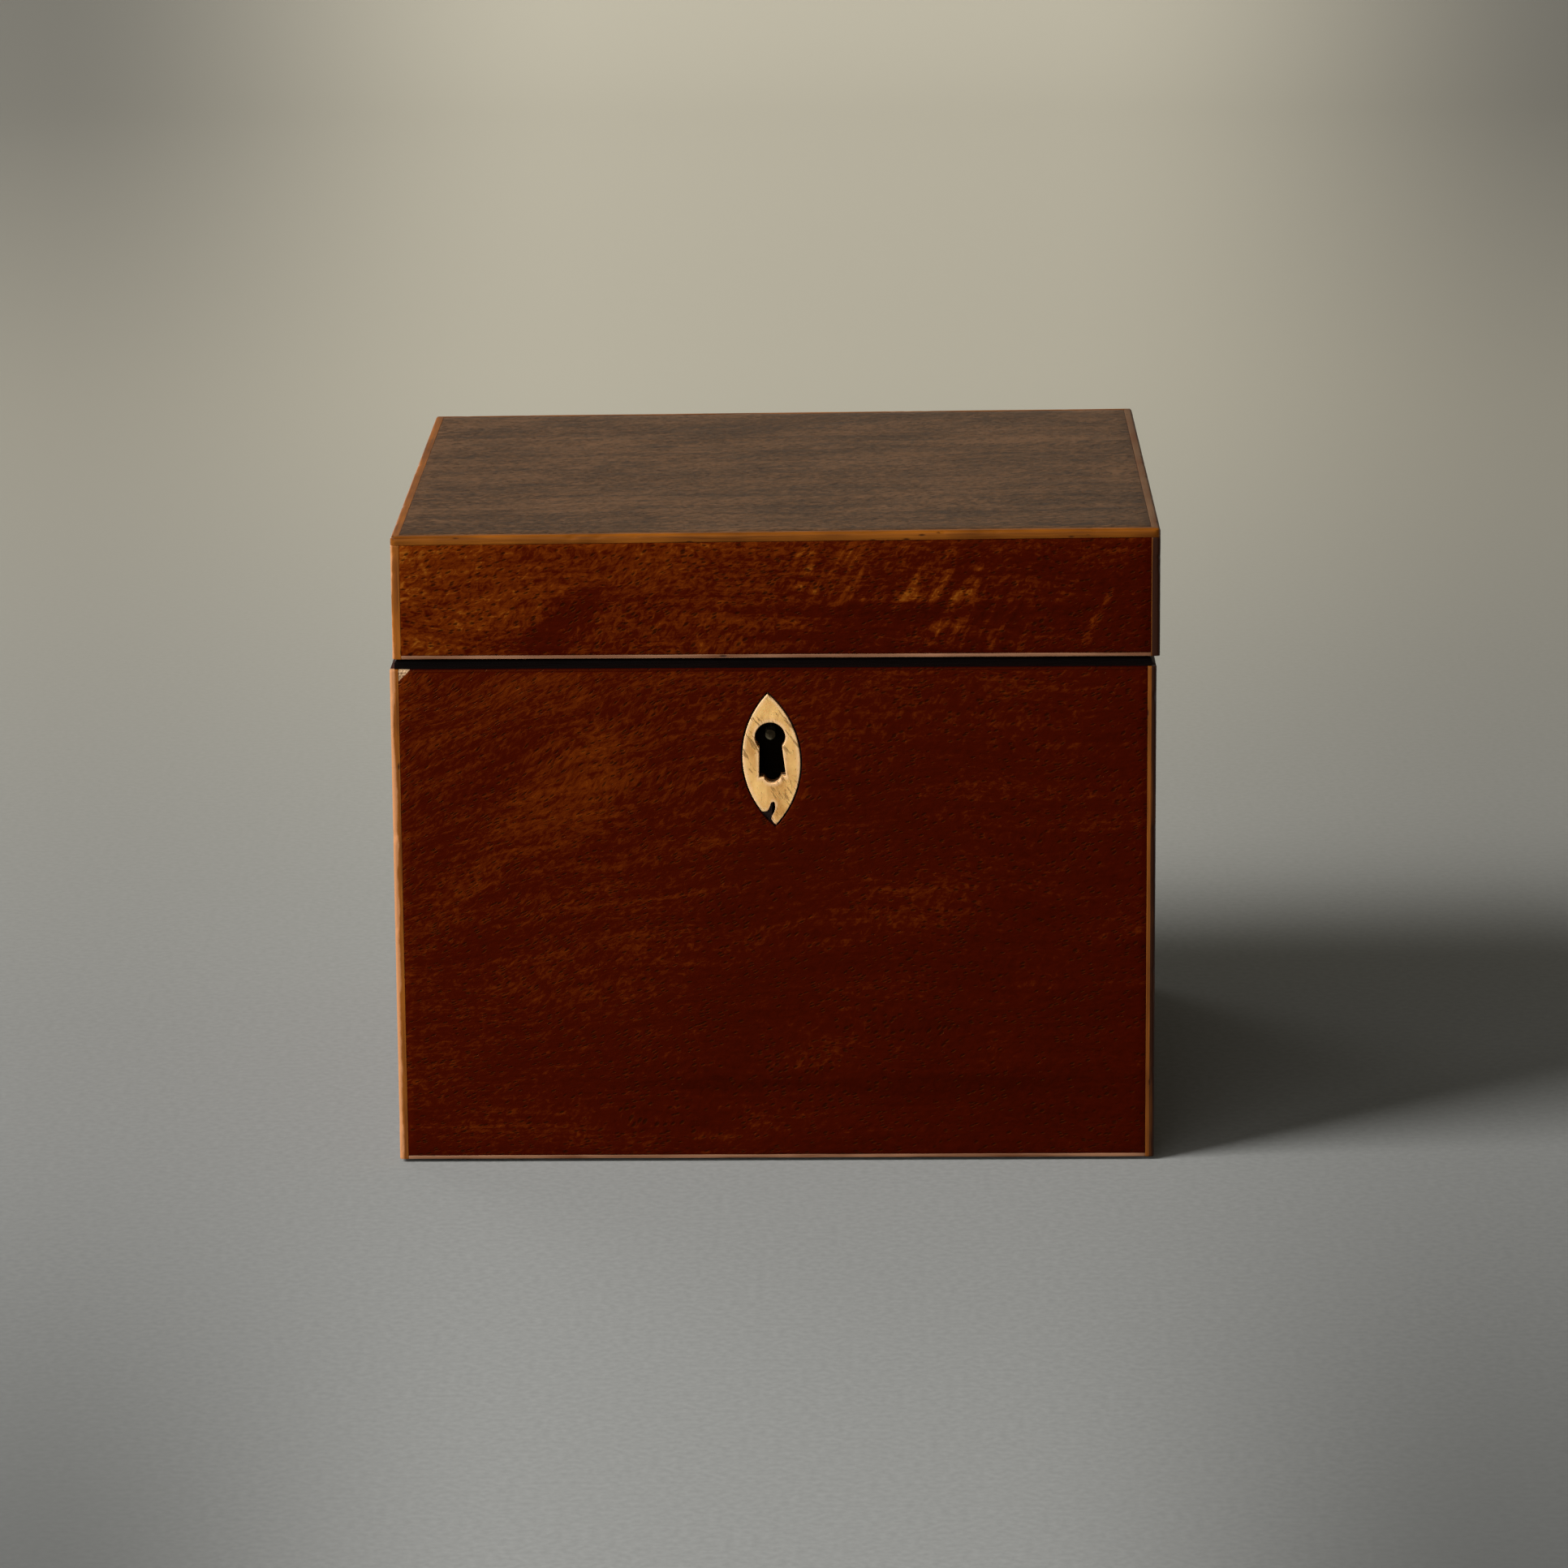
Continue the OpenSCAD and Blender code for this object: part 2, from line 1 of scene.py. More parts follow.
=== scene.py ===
"""Looks of a veneered tea caddy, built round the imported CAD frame."""

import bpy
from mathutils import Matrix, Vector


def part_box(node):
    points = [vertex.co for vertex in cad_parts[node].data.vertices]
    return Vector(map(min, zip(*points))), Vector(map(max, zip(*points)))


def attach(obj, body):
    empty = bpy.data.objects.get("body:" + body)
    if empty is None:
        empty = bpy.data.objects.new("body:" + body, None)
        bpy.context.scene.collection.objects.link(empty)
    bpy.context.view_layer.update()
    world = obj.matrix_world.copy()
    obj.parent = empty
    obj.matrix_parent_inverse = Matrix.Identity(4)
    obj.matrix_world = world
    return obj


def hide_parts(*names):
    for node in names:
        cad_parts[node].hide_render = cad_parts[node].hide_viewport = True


bl_info = {
    "name": "Tea caddy",
    "version": (1, 0, 0),
    "blender": (4, 5, 0),
    "location": "3D View > Sidebar > Tea caddy",
    "description": "Veneers, strings, escutcheon, fittings and lining of a tea caddy, and its stage",
    "category": "Object",
}

import math

import bpy
import numpy as np
from bpy.props import FloatProperty, FloatVectorProperty, PointerProperty
from mathutils import Matrix, Vector

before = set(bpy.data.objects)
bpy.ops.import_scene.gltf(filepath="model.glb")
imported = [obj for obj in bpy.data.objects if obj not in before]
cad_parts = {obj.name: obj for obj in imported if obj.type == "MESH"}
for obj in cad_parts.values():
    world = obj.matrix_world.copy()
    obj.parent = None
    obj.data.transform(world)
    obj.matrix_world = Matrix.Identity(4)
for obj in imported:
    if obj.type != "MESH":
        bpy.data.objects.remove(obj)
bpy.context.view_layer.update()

MM = 0.001
X, Y, Z = 0, 1, 2
FINE = 4      # points round a small eased edge
ROUND = 7     # points round a worn arris


# ---- places, all taken from the frame ----

def box(node):
    """The lowest and the highest corner of a CAD node, as two arrays in metres."""
    low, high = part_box(node)
    return np.array(low), np.array(high)


def middle_x(node):
    """Where the middle of a CAD node is, along X."""
    low, high = box(node)
    return (low[X] + high[X]) / 2


string_low, string_high = box("corner_string_front_left")
STRING = string_high[X] - string_low[X]
LID_X = middle_x("lid_front_board")
LID_LOW = box("lid_front_board")[0][Z]
cap_low, cap_high = box("lid_top_string_front")
CAP_Z = (cap_low[Z] + cap_high[Z] - STRING) / 2
LID_HALF_W = (cap_high[X] - cap_low[X]) / 2
LID_HALF_D = -cap_low[Y]
left_high = box("lid_top_string_left")[1][Z]
right_high = box("lid_top_string_right")[1][Z]
LID_SLOPE = (right_high - left_high) / (2 * LID_HALF_W - STRING)
HINGE = (box("hinge_pin_left")[0] + box("hinge_pin_left")[1]) / 2
KNUCKLE_R = HINGE[Z] - box("hinge_leaf_body_left")[0][Z]
HINGE_HALF = (box("hinge_pin_left")[1][X] - box("hinge_pin_left")[0][X]) / 2 + 0.1 * MM
BEVEL_RISE = (box("lid_back_veneer")[0][Z] - HINGE[Z]) / (box("lid_back_veneer")[0][Y] - HINGE[Y])


# ---- shapes ----

def waves(points, size, seed):
    """Mean of six sine waves in seeded directions, from -1 to 1: the unevenness of a hand-worked face."""
    rng = np.random.default_rng(seed)
    directions = rng.normal(size=(6, points.shape[-1])) * math.tau / size
    return np.sin(points @ directions.T + rng.uniform(0, math.tau, 6)).mean(-1)


def grid_faces(rows, cols, wrap_rows=False, wrap_cols=False):
    """Four-sided faces between neighbouring rows and columns of a grid of points."""
    i = np.arange(rows if wrap_rows else rows - 1)[:, None]
    j = np.arange(cols if wrap_cols else cols - 1)[None, :]
    up, right = (i + 1) % rows, (j + 1) % cols
    corners = [i * cols + j, i * cols + right, up * cols + right, up * cols + j]
    return np.stack([np.broadcast_to(c, (i.size, j.size)).ravel() for c in corners], -1).tolist()


def carried(loops, stations, along):
    """A closed section at each station along an axis, joined by quads and closed at both ends.

    loops is stations x points x 2, anticlockwise when looked at from the axis' far end.
    """
    rows, cols = loops.shape[:2]
    points = np.empty((rows, cols, 3))
    points[..., along] = stations[:, None]
    points[..., (along + 1) % 3] = loops[..., 0]
    points[..., (along + 2) % 3] = loops[..., 1]
    last = (rows - 1) * cols
    faces = grid_faces(rows, cols, wrap_cols=True)
    faces += [list(range(cols))[::-1], list(range(last, last + cols))]
    return points, faces


def eased_stations(length, ease, steps):
    """Stations along a bar, and how far the section is drawn in at each: a quarter circle at either end."""
    turn = np.linspace(0, np.pi / 2, FINE)
    end, draw = ease * (1 - np.cos(turn)), ease * (1 - np.sin(turn))
    middle = np.linspace(ease, length - ease, steps + 2)[1:-1]
    return (np.concatenate([end, middle, length - end[::-1]]),
            np.concatenate([draw, np.zeros(steps), draw[::-1]]))


def rounded_loops(low, high, radii, arc, side_steps):
    """A rectangle with a quarter circle at each corner, for every station at once.

    low and high are stations x 2, radii stations x 4; the corners run anticlockwise from the lowest.
    A corner is its centre plus the radius times the cosine and sine of the angle.
    Returns the loops and the direction that each point faces.
    """
    parts, facing = [], []
    arcs = []
    for corner in range(4):
        at_high = np.array([corner in (1, 2), corner in (2, 3)])
        angle = math.pi + (corner + np.linspace(0, 1, arc)) * math.pi / 2
        normal = np.stack([np.cos(angle), np.sin(angle)], -1)
        centre = np.where(at_high, high - radii[:, corner, None], low + radii[:, corner, None])
        arcs.append((centre[:, None] + radii[:, corner, None, None] * normal, normal))
    for corner in range(4):
        here, normal = arcs[corner]
        following = arcs[(corner + 1) % 4][0]
        share = (np.arange(side_steps[corner % 2]) + 1)[:, None] / (side_steps[corner % 2] + 1)
        parts += [here, here[:, -1:] + share * (following[:, :1] - here[:, -1:])]
        facing += [normal, np.repeat(normal[-1:], share.size, 0)]
    return np.concatenate(parts, 1), np.concatenate(facing)


def bar(low, high, along, seed, radii=None, wear=None, ease=None, steps=(24, 1, 1), depth=0.0,
        wave=14 * MM, arc=FINE):
    """A bar that fills the box from low to high, its section a rectangle with rounded corners.

    radii are those of its four long edges. wear, a function of the place along the bar, is
    added to the first of them that is larger than the easing. The faces are drawn in by up to
    depth times a wave.
    """
    look = bpy.context.scene.tea_caddy
    ease = look.ease if ease is None else ease
    a, b = (along + 1) % 3, (along + 2) % 3
    stations, draw = eased_stations(high[along] - low[along], ease, steps[0])
    stations = stations + low[along]
    radius = np.tile(np.array(radii or [ease] * 4), (stations.size, 1))
    if wear is not None:
        worn = int(np.argmax(radius[0]))
        radius[:, worn] += wear(stations)
    loops, facing = rounded_loops(low[[a, b]] + draw[:, None], high[[a, b]] - draw[:, None],
                                  radius, arc, steps[1:])
    points, faces = carried(loops, stations, along)
    uneven = (1 + waves(points, wave, seed)) / 2 * depth
    points[..., a] -= facing[:, 0] * uneven
    points[..., b] -= facing[:, 1] * uneven
    return points, faces


def mitred(shape, along, across, sign):
    """Cuts a bar's ends at 45 degrees: a point at depth d behind the outer face moves in by d at the ends."""
    points, faces = shape
    length = points[..., along]
    middle, half = (length.max() + length.min()) / 2, (length.max() - length.min()) / 2
    outer = points[..., across].max() if sign > 0 else points[..., across].min()
    depth = np.abs(outer - points[..., across])
    points[..., along] = middle + (length - middle) * (half - depth) / half
    return points, faces


def nicks(seed, amount, count, size, spread=0.6 * MM):
    """Extra radius along an arris: a slow wave, and bell-shaped nicks at seeded places."""
    def wear(place):
        rng = np.random.default_rng(seed)
        start, length = place.min(), np.ptp(place)
        centres = start + rng.uniform(0.03, 0.97, count) * length
        sizes = size * rng.uniform(0.3, 1, count)
        bells = np.exp(-((place[:, None] - centres) / (spread * rng.uniform(0.5, 1.5, count))) ** 2)
        return amount * (1 + waves(place[:, None], 30 * MM, seed)) / 2 + bells @ sizes
    return wear


def with_slope(shape, stretched=False):
    """Lifts the lid's top towards the right: by the slope times the distance from the middle.

    Where stretched, the lift grows from nothing at the lid's lower edge to all of it at the top.
    """
    points, faces = shape
    share = (points[..., Z] - LID_LOW) / (CAP_Z - LID_LOW) if stretched else 1
    points[..., Z] += LID_SLOPE * (points[..., X] - LID_X) * share
    return points, faces


def with_round_corners(shape, radius):
    """Rounds the lid's upright corners in plan: what lies beyond the corner's circle is drawn back to it."""
    points, faces = shape
    middle = np.array([LID_X, 0])
    centre = np.array([LID_HALF_W, LID_HALF_D]) - radius
    offset = points[..., :2] - middle
    beyond = np.maximum(np.abs(offset) - centre, 0)
    distance = np.linalg.norm(beyond, axis=-1, keepdims=True)
    outside = (beyond > 0).all(-1, keepdims=True) & (distance > radius)
    share = np.where(outside, radius / np.maximum(distance, 1e-9), 1)
    points[..., :2] = middle + np.sign(offset) * np.minimum(np.abs(offset), centre) \
        + np.sign(offset) * beyond * share
    return points, faces


def cut_by_bevel(shape, upper):
    """Squeezes a piece's height so that it stops at the sloping plane behind the hinge axis.

    upper is true for the lid, whose lower edge is cut, and false for the body, whose top is.
    """
    points, faces = shape
    heights, back = points[..., Z], np.maximum(points[..., Y] - HINGE[Y], 0)
    low, high = heights.min(), heights.max()
    if upper:
        near_hinge = (np.abs(np.abs(points[..., X]) - abs(HINGE[X])) < HINGE_HALF) & (back < KNUCKLE_R)
        bevel = np.maximum(low, HINGE[Z] + back * BEVEL_RISE)
        knuckle = HINGE[Z] + np.sqrt(np.maximum((KNUCKLE_R + 0.2 * MM) ** 2 - back ** 2, 0))
        floor = np.minimum(np.where(near_hinge, np.maximum(bevel, knuckle), bevel), high - 0.05 * MM)
        points[..., Z] = high - (high - heights) * (high - floor) / (high - low)
    else:
        ceiling = np.minimum(high, HINGE[Z] - back * BEVEL_RISE)
        points[..., Z] = low + (heights - low) * (ceiling - low) / (high - low)
    return points, faces


def ring(inner, outer, section, bend=None):
    """A flat ring between two matched outlines, closed all round its section.

    Each section point is (share, offset, depth): share of the way from the inner to the outer
    outline, plus offset along that line, at that depth behind the face. bend pushes the middle
    of a line aside by four times share times what is left of it.
    """
    share, offset, depth = np.array(section).T[:, None, :, None]
    line = (outer - inner)[:, None]
    flat = inner[:, None] + share * line + offset * line / np.linalg.norm(line, axis=-1, keepdims=True)
    if bend is not None:
        flat = flat + 4 * share * (1 - share) * bend[:, None]
    points = np.concatenate([flat, np.broadcast_to(depth, flat.shape[:2] + (1,))], -1)
    return points, grid_faces(len(inner), len(section), True, True)


def front_ring(shape, face_y):
    """Stands a ring up at the front: its outlines are in X and Z, and depth runs back from the face."""
    points, faces = shape
    return np.stack([points[..., 0], face_y + points[..., 2], points[..., 1]], -1), faces


def flat_ring(shape, top_z):
    """Lays a ring down: its outlines are in X and Y, and depth runs down from the top."""
    points, faces = shape
    return np.stack([points[..., 0], points[..., 1], top_z - points[..., 2]], -1), faces


def rim_section(thickness, ease, steps):
    """The section of a flat ring: up the inner wall, round an eased edge, over the face and down again."""
    turn = np.linspace(0, np.pi / 2, FINE)
    draw, sink = ease * (1 - np.cos(turn)), ease * (1 - np.sin(turn))
    inner = [(0, o, d) for o, d in zip(draw, sink)]
    face = [(s, 0, 0) for s in np.linspace(0, 1, steps + 2)[1:-1]]
    outer = [(1, -o, d) for o, d in zip(draw[::-1], sink[::-1])]
    return [(0, 0, thickness)] + inner + face + outer + [(1, 0, thickness)]


def reach(corners, centre, angles):
    """Where rays from the centre at these angles leave a polygon.

    Each ray meets each edge where centre + t * direction = start + s * edge; the largest t counts.
    """
    start = corners - centre
    edge = np.roll(corners, -1, 0) - corners
    direction = np.stack([np.cos(angles), np.sin(angles)], -1)[:, None]
    cross = direction[..., 0] * edge[:, 1] - direction[..., 1] * edge[:, 0]
    safe = np.where(np.abs(cross) < 1e-15, 1e-15, cross)
    t = (start[:, 0] * edge[:, 1] - start[:, 1] * edge[:, 0]) / safe
    s = (start[:, 0] * direction[..., 1] - start[:, 1] * direction[..., 0]) / safe
    t = np.where((s > -1e-6) & (s < 1 + 1e-6) & (t > 0), t, 0).max(1)
    return centre + t[:, None] * direction[:, 0]


def ring_angles(count, centre, *outlines):
    """Even angles round a centre, with the angle of each outline's corner added."""
    own = [np.arctan2(*(o - centre).T[::-1]) for o in outlines]
    angles = np.concatenate([np.linspace(-np.pi, np.pi, count, endpoint=False), *own])
    angles = np.sort(angles)
    return angles[np.append(True, np.diff(angles) > 1e-5)]


def lathe(profile, centre, steps=48):
    """A profile of (radius, height) points turned round an upright axis, closed to a point at both ends."""
    radius, height = np.array(profile).T
    angle = np.linspace(0, math.tau, steps, endpoint=False)
    points = np.stack([centre[X] + radius[:, None] * np.cos(angle), centre[Y] + radius[:, None] * np.sin(angle),
                       np.broadcast_to(height[:, None], (radius.size, steps))], -1)
    last = (radius.size - 1) * steps
    faces = grid_faces(radius.size, steps, wrap_cols=True)
    return points, faces + [list(range(steps))[::-1], list(range(last, last + steps))]


def new_piece(name, shapes, body, material, slot, *replaced):
    """Joins shapes into one mesh at the origin, shades it, hangs it on its body and hides the CAD parts it
    replaces.
    """
    points, faces, count = [], [], 0
    for shape_points, shape_faces in shapes:
        flat = shape_points.reshape(-1, 3)
        points.append(flat)
        faces += [[v + count for v in face] for face in shape_faces]
        count += len(flat)
    mesh = bpy.data.meshes.new(name)
    mesh.from_pydata(np.concatenate(points).tolist(), [], faces)
    mesh.shade_smooth()
    mesh.set_sharp_from_angle(angle=math.radians(50))
    mesh.materials.append(material)
    piece = bpy.data.objects.new(name, mesh)
    bpy.context.scene.collection.objects.link(piece)
    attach(piece, body)
    if replaced:
        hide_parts(*replaced)
    return piece


# ---- finishes ----

class Recipe:
    """Writes one material's nodes, from its coordinates to its shader."""

    def __init__(self, name, axes=(X, Y, Z), **shader):
        self.material = bpy.data.materials.new(name)
        self.material.use_nodes = True
        self.tree = self.material.node_tree
        self.shader = self.tree.nodes["Principled BSDF"]
        for key, value in shader.items():
            self.shader.inputs[key.replace("_", " ").title().replace("Ior", "IOR")].default_value = value
        parts = self.add("SeparateXYZ", Vector=self.add("TexCoord").outputs["Object"]).outputs
        self.along, self.across, self.normal = [parts[axis] for axis in axes]
        self.place = self.add("CombineXYZ", X=self.along, Y=self.across, Z=self.normal).outputs[0]

    def add(self, kind, settings=None, **inputs):
        """A node, with its settings, and its inputs linked or set."""
        node = self.tree.nodes.new("ShaderNode" + kind)
        for key, value in (settings or {}).items():
            setattr(node, key, value)
        for key, value in inputs.items():
            socket = node.inputs[int(key[1:])] if key[0] == "_" else node.inputs[key.replace("_", " ")]
            if isinstance(value, bpy.types.NodeSocket):
                self.tree.links.new(value, socket)
            else:
                socket.default_value = value
        return node

    def sum(self, op, a, b=0.0, c=0.0, clamp=False):
        """A math node."""
        return self.add("Math", {"operation": op, "use_clamp": clamp}, _0=a, _1=b, _2=c).outputs[0]

    def scaled(self, size, turn=0.0, place=None, shift=(0, 0, 0)):
        """The place measured in units of a feature's size, along directions turned about the normal."""
        return self.add("Mapping", {"vector_type": "TEXTURE"}, Vector=place or self.place, Location=shift,
                        Rotation=(0, 0, turn), Scale=size).outputs[0]

    def noise(self, place, detail=2.0, roughness=0.5, distortion=0.0):
        """Smooth noise from 0 to 1."""
        return self.add("TexNoise", Vector=place, Scale=1.0, Detail=detail, Roughness=roughness,
                        Distortion=distortion).outputs["Fac"]

    def cells(self, place, feature="F1"):
        """Scattered cells: the distance to the nearest centre, and a random value in each."""
        node = self.add("TexVoronoi", {"feature": feature}, Vector=place, Scale=1.0)
        value = self.add("SeparateColor", Color=node.outputs["Color"]).outputs[0] if feature == "F1" else None
        return node.outputs["Distance"], value

    def step(self, value, low, high, to_low=0.0, to_high=1.0):
        """A smooth step from one value to another."""
        return self.add("MapRange", {"interpolation_type": "SMOOTHSTEP"}, Value=value, From_Min=low,
                        From_Max=high, To_Min=to_low, To_Max=to_high).outputs[0]

    def ramp(self, value, stops):
        """Colours at places from 0 to 1."""
        node = self.add("ValToRGB", Fac=value)
        elements = node.color_ramp.elements
        while len(elements) < len(stops):
            elements.new(0.5)
        for element, (place, colour) in zip(elements, stops):
            element.position, element.color = place, (*colour, 1)
        return node.outputs[0]

    def blend(self, share, a, b, mode="MIX"):
        """One colour over another."""
        node = self.add("Mix", {"data_type": "RGBA", "blend_type": mode}, _0=share)
        for index, value in ((6, a), (7, b)):
            if isinstance(value, bpy.types.NodeSocket):
                self.tree.links.new(value, node.inputs[index])
            else:
                node.inputs[index].default_value = (*value, 1)
        return node.outputs[2]

    def finish(self, colour, roughness=None, height=None, depth=0.05 * MM):
        """Links the shader's colour, roughness and bump."""
        self.tree.links.new(colour, self.shader.inputs["Base Color"])
        if roughness is not None:
            self.tree.links.new(roughness, self.shader.inputs["Roughness"])
        if height is not None:
            bump = self.add("Bump", Height=height, Strength=1.0, Distance=depth)
            self.tree.links.new(bump.outputs[0], self.shader.inputs["Normal"])
        return self.material


def mahogany(name, axes, light=0.5, tone_and_light_drift=(0.0, 0.0), origin=(0.0, 0.0), bow=None, clouds=(), flame=None,
             contrast=1.0, pores=1.0, tones=None, specular=0.16, roughness=0.36):
    """Polished mahogany veneer; along, across and normal to the grain are the three axes in turn.

    light is the tone at the origin, and tone_and_light_drift how it changes per metre along and across: partly
    the wood's own tone, partly painted light.
    bow bends the grain upwards to the left of a line: where it is, how strongly, and how high the piece is.
    clouds are soft patches, each with its place, size, turn and change of tone.
    flame is the steep ribbon figure: a list of clouds in which it shows, and its turn.
    """
    look = bpy.context.scene.tea_caddy
    r = Recipe(name, axes, specular_ior_level=specular, specular_tint=(*look.polish_tint, 1))
    tones = tones or [tuple(look.mahogany_dark), tuple(look.mahogany_mid), tuple(look.mahogany_light),
                      tuple(look.mahogany_bright)]
    bend = r.noise(r.scaled((34 * MM, 16 * MM, 60 * MM)), 3)
    across = r.sum("MULTIPLY_ADD", bend, 9 * MM, r.across)
    if bow:
        line, strength, height = bow
        left = r.sum("MAXIMUM", r.sum("SUBTRACT", line, r.along), 0.0)
        lift = r.sum("MULTIPLY", r.sum("MULTIPLY", left, left), r.sum("MULTIPLY", r.across, strength / height))
        across = r.sum("ADD", across, lift)
    place = r.add("CombineXYZ", X=r.along, Y=across, Z=r.normal).outputs[0]
    bands = r.noise(r.scaled((60 * MM, 3.2 * MM, 60 * MM), place=place), 3, 0.6)
    streaks = r.noise(r.scaled((16 * MM, 0.8 * MM, 30 * MM), place=place), 3, 0.6)
    fibre = r.noise(r.scaled((4 * MM, 0.2 * MM, 5 * MM), place=place), 2, 0.6)
    patches = r.noise(r.scaled((22 * MM, 12 * MM, 40 * MM), turn=0.5), 3, 0.55)
    flecks = r.noise(r.scaled((1.5 * MM, 0.8 * MM, 5 * MM), turn=0.5, place=place), 3, 0.7, 0.8)

    def cloud(at, size, turn):
        frayed = r.noise(r.scaled((5 * MM, 1.6 * MM, 20 * MM), place=place), 3, 0.6)
        away = r.add("VectorMath", {"operation": "LENGTH"},
                     _0=r.scaled((*size, 1.0), turn=turn, shift=(*at, 0))).outputs["Value"]
        return r.step(r.sum("MULTIPLY_ADD", frayed, 1.1, away), 0.85, 1.6, 1, 0)

    # partly painted light: the tone drifts along and across the veneer, as well as varying with the wood
    tone = r.sum("MULTIPLY_ADD", r.sum("SUBTRACT", r.along, origin[0]), tone_and_light_drift[0], light)
    tone = r.sum("MULTIPLY_ADD", r.sum("SUBTRACT", r.across, origin[1]), tone_and_light_drift[1], tone)
    for layer, share in ((patches, 0.35), (bands, 0.36), (streaks, 0.36), (flecks, 0.95), (fibre, 0.22)):
        tone = r.sum("MULTIPLY_ADD", r.sum("SUBTRACT", layer, 0.5), share * contrast, tone)
    for at, size, turn, change in clouds:
        tone = r.sum("MULTIPLY_ADD", cloud(at, size, turn), change, tone)
    if flame:
        turn, places = flame
        ribbons = r.step(r.noise(r.scaled((14 * MM, 2.5 * MM, 20 * MM), turn=turn), 4, 0.6, 0.4), 0.42, 0.64)
        for at, size, lean, change in places:
            shown = r.sum("MULTIPLY", ribbons, cloud(at, size, lean))
            tone = r.sum("MULTIPLY_ADD", shown, change, tone)
    colour = r.ramp(tone, list(zip((0.0, 0.42, 0.75, 1.0), tones)))
    slant = r.scaled((1.3 * MM, 0.5 * MM, 4 * MM), turn=0.3, place=place)
    distance, chance = r.cells(slant)
    few = r.step(r.noise(r.scaled((14 * MM, 9 * MM, 20 * MM)), 1), 0.3, 0.65, 0.75, 0.3)
    pore = r.sum("MULTIPLY", r.step(distance, 0.16, 0.44, 1, 0), r.sum("GREATER_THAN", chance, few))
    colour = r.blend(r.sum("MULTIPLY", pore, 0.85 * pores), colour, tuple(look.mahogany_pore))
    gloss = r.sum("MULTIPLY_ADD", streaks, 0.12, roughness - 0.06)
    height = r.sum("SUBTRACT", r.sum("MULTIPLY", fibre, 0.25), pore)
    return r.finish(colour, gloss, height, 0.04 * MM)


def boxwood(name, axes, tone=1.0, specular=0.25, shaded_side=None, wear_and_highlight_to=None, ground=None):
    """Straight-grained boxwood: a honey ground, fine long streaks, and a few dark specks.

    shaded_side is where painted shade starts across the grain, and where it is complete.
    wear_and_highlight_to is the place across the grain that the pale outer edge reaches: rubbed bare wood and a
    painted highlight.
    ground takes the place of the usual honey colour.
    """
    look = bpy.context.scene.tea_caddy
    r = Recipe(name, axes, specular_ior_level=specular)
    bright = tuple(c * tone for c in ground or look.boxwood_light)
    dull = tuple(c * tone for c in look.boxwood_dark)
    streaks = r.noise(r.scaled((16 * MM, 0.45 * MM, 0.45 * MM)), 3, 0.65)
    patches = r.noise(r.scaled((11 * MM, 6 * MM, 6 * MM), shift=(0.1, 0.2, 0.3)), 2, 0.5)
    tone_share = r.sum("MULTIPLY_ADD", streaks, 1.1, r.sum("MULTIPLY_ADD", patches, 1.0, -0.6))
    colour = r.ramp(tone_share, [(0.1, dull), (0.55, bright), (1.0, tuple(min(1, c * 1.6) for c in bright))])
    distance, chance = r.cells(r.scaled((2.6 * MM, 0.9 * MM, 0.9 * MM)))
    speck = r.sum("MULTIPLY", r.step(distance, 0.1, 0.3, 1, 0), r.sum("GREATER_THAN", chance, 0.84))
    colour = r.blend(r.sum("MULTIPLY", speck, 0.8), colour, tuple(look.mahogany_pore))
    if shaded_side:
        start, end = shaded_side
        # painted shade: the strings' right-hand outer edge is darkened, broken up by noise
        grime = r.noise(r.scaled((14 * MM, 1.2 * MM, 1.2 * MM), shift=(0.4, 0, 0)), 3, 0.6)
        amount = r.sum("MULTIPLY", r.step(r.across, start, end), r.step(grime, 0.25, 0.5, 0.75, 1.0))
        # painted shade: everything on the right-hand side, across above nothing, is darkened by at least 0.35
        amount = r.sum("MAXIMUM", amount, r.sum("MULTIPLY", r.sum("GREATER_THAN", r.across, 0.0), 0.35))
        colour = r.blend(amount, colour, tuple(look.string_shade))
    if wear_and_highlight_to is not None:
        # rubbed wear and a painted highlight: the strings' left-hand outer edge is painted pale
        rubbed_and_lit = r.noise(r.scaled((7 * MM, 7 * MM, 7 * MM), shift=(0.2, 0, 0)), 3, 0.65)
        edge = r.sum("MULTIPLY_ADD", rubbed_and_lit, -1.1 * MM, r.across)
        colour = r.blend(r.step(edge, wear_and_highlight_to - 0.98 * MM, wear_and_highlight_to - 0.62 * MM, 0.85, 0), colour,
                         tuple(look.string_wear_and_highlight))
    gloss = r.sum("MULTIPLY_ADD", streaks, 0.2, 0.3)
    return r.finish(colour, gloss, r.sum("SUBTRACT", streaks, speck), 0.03 * MM)


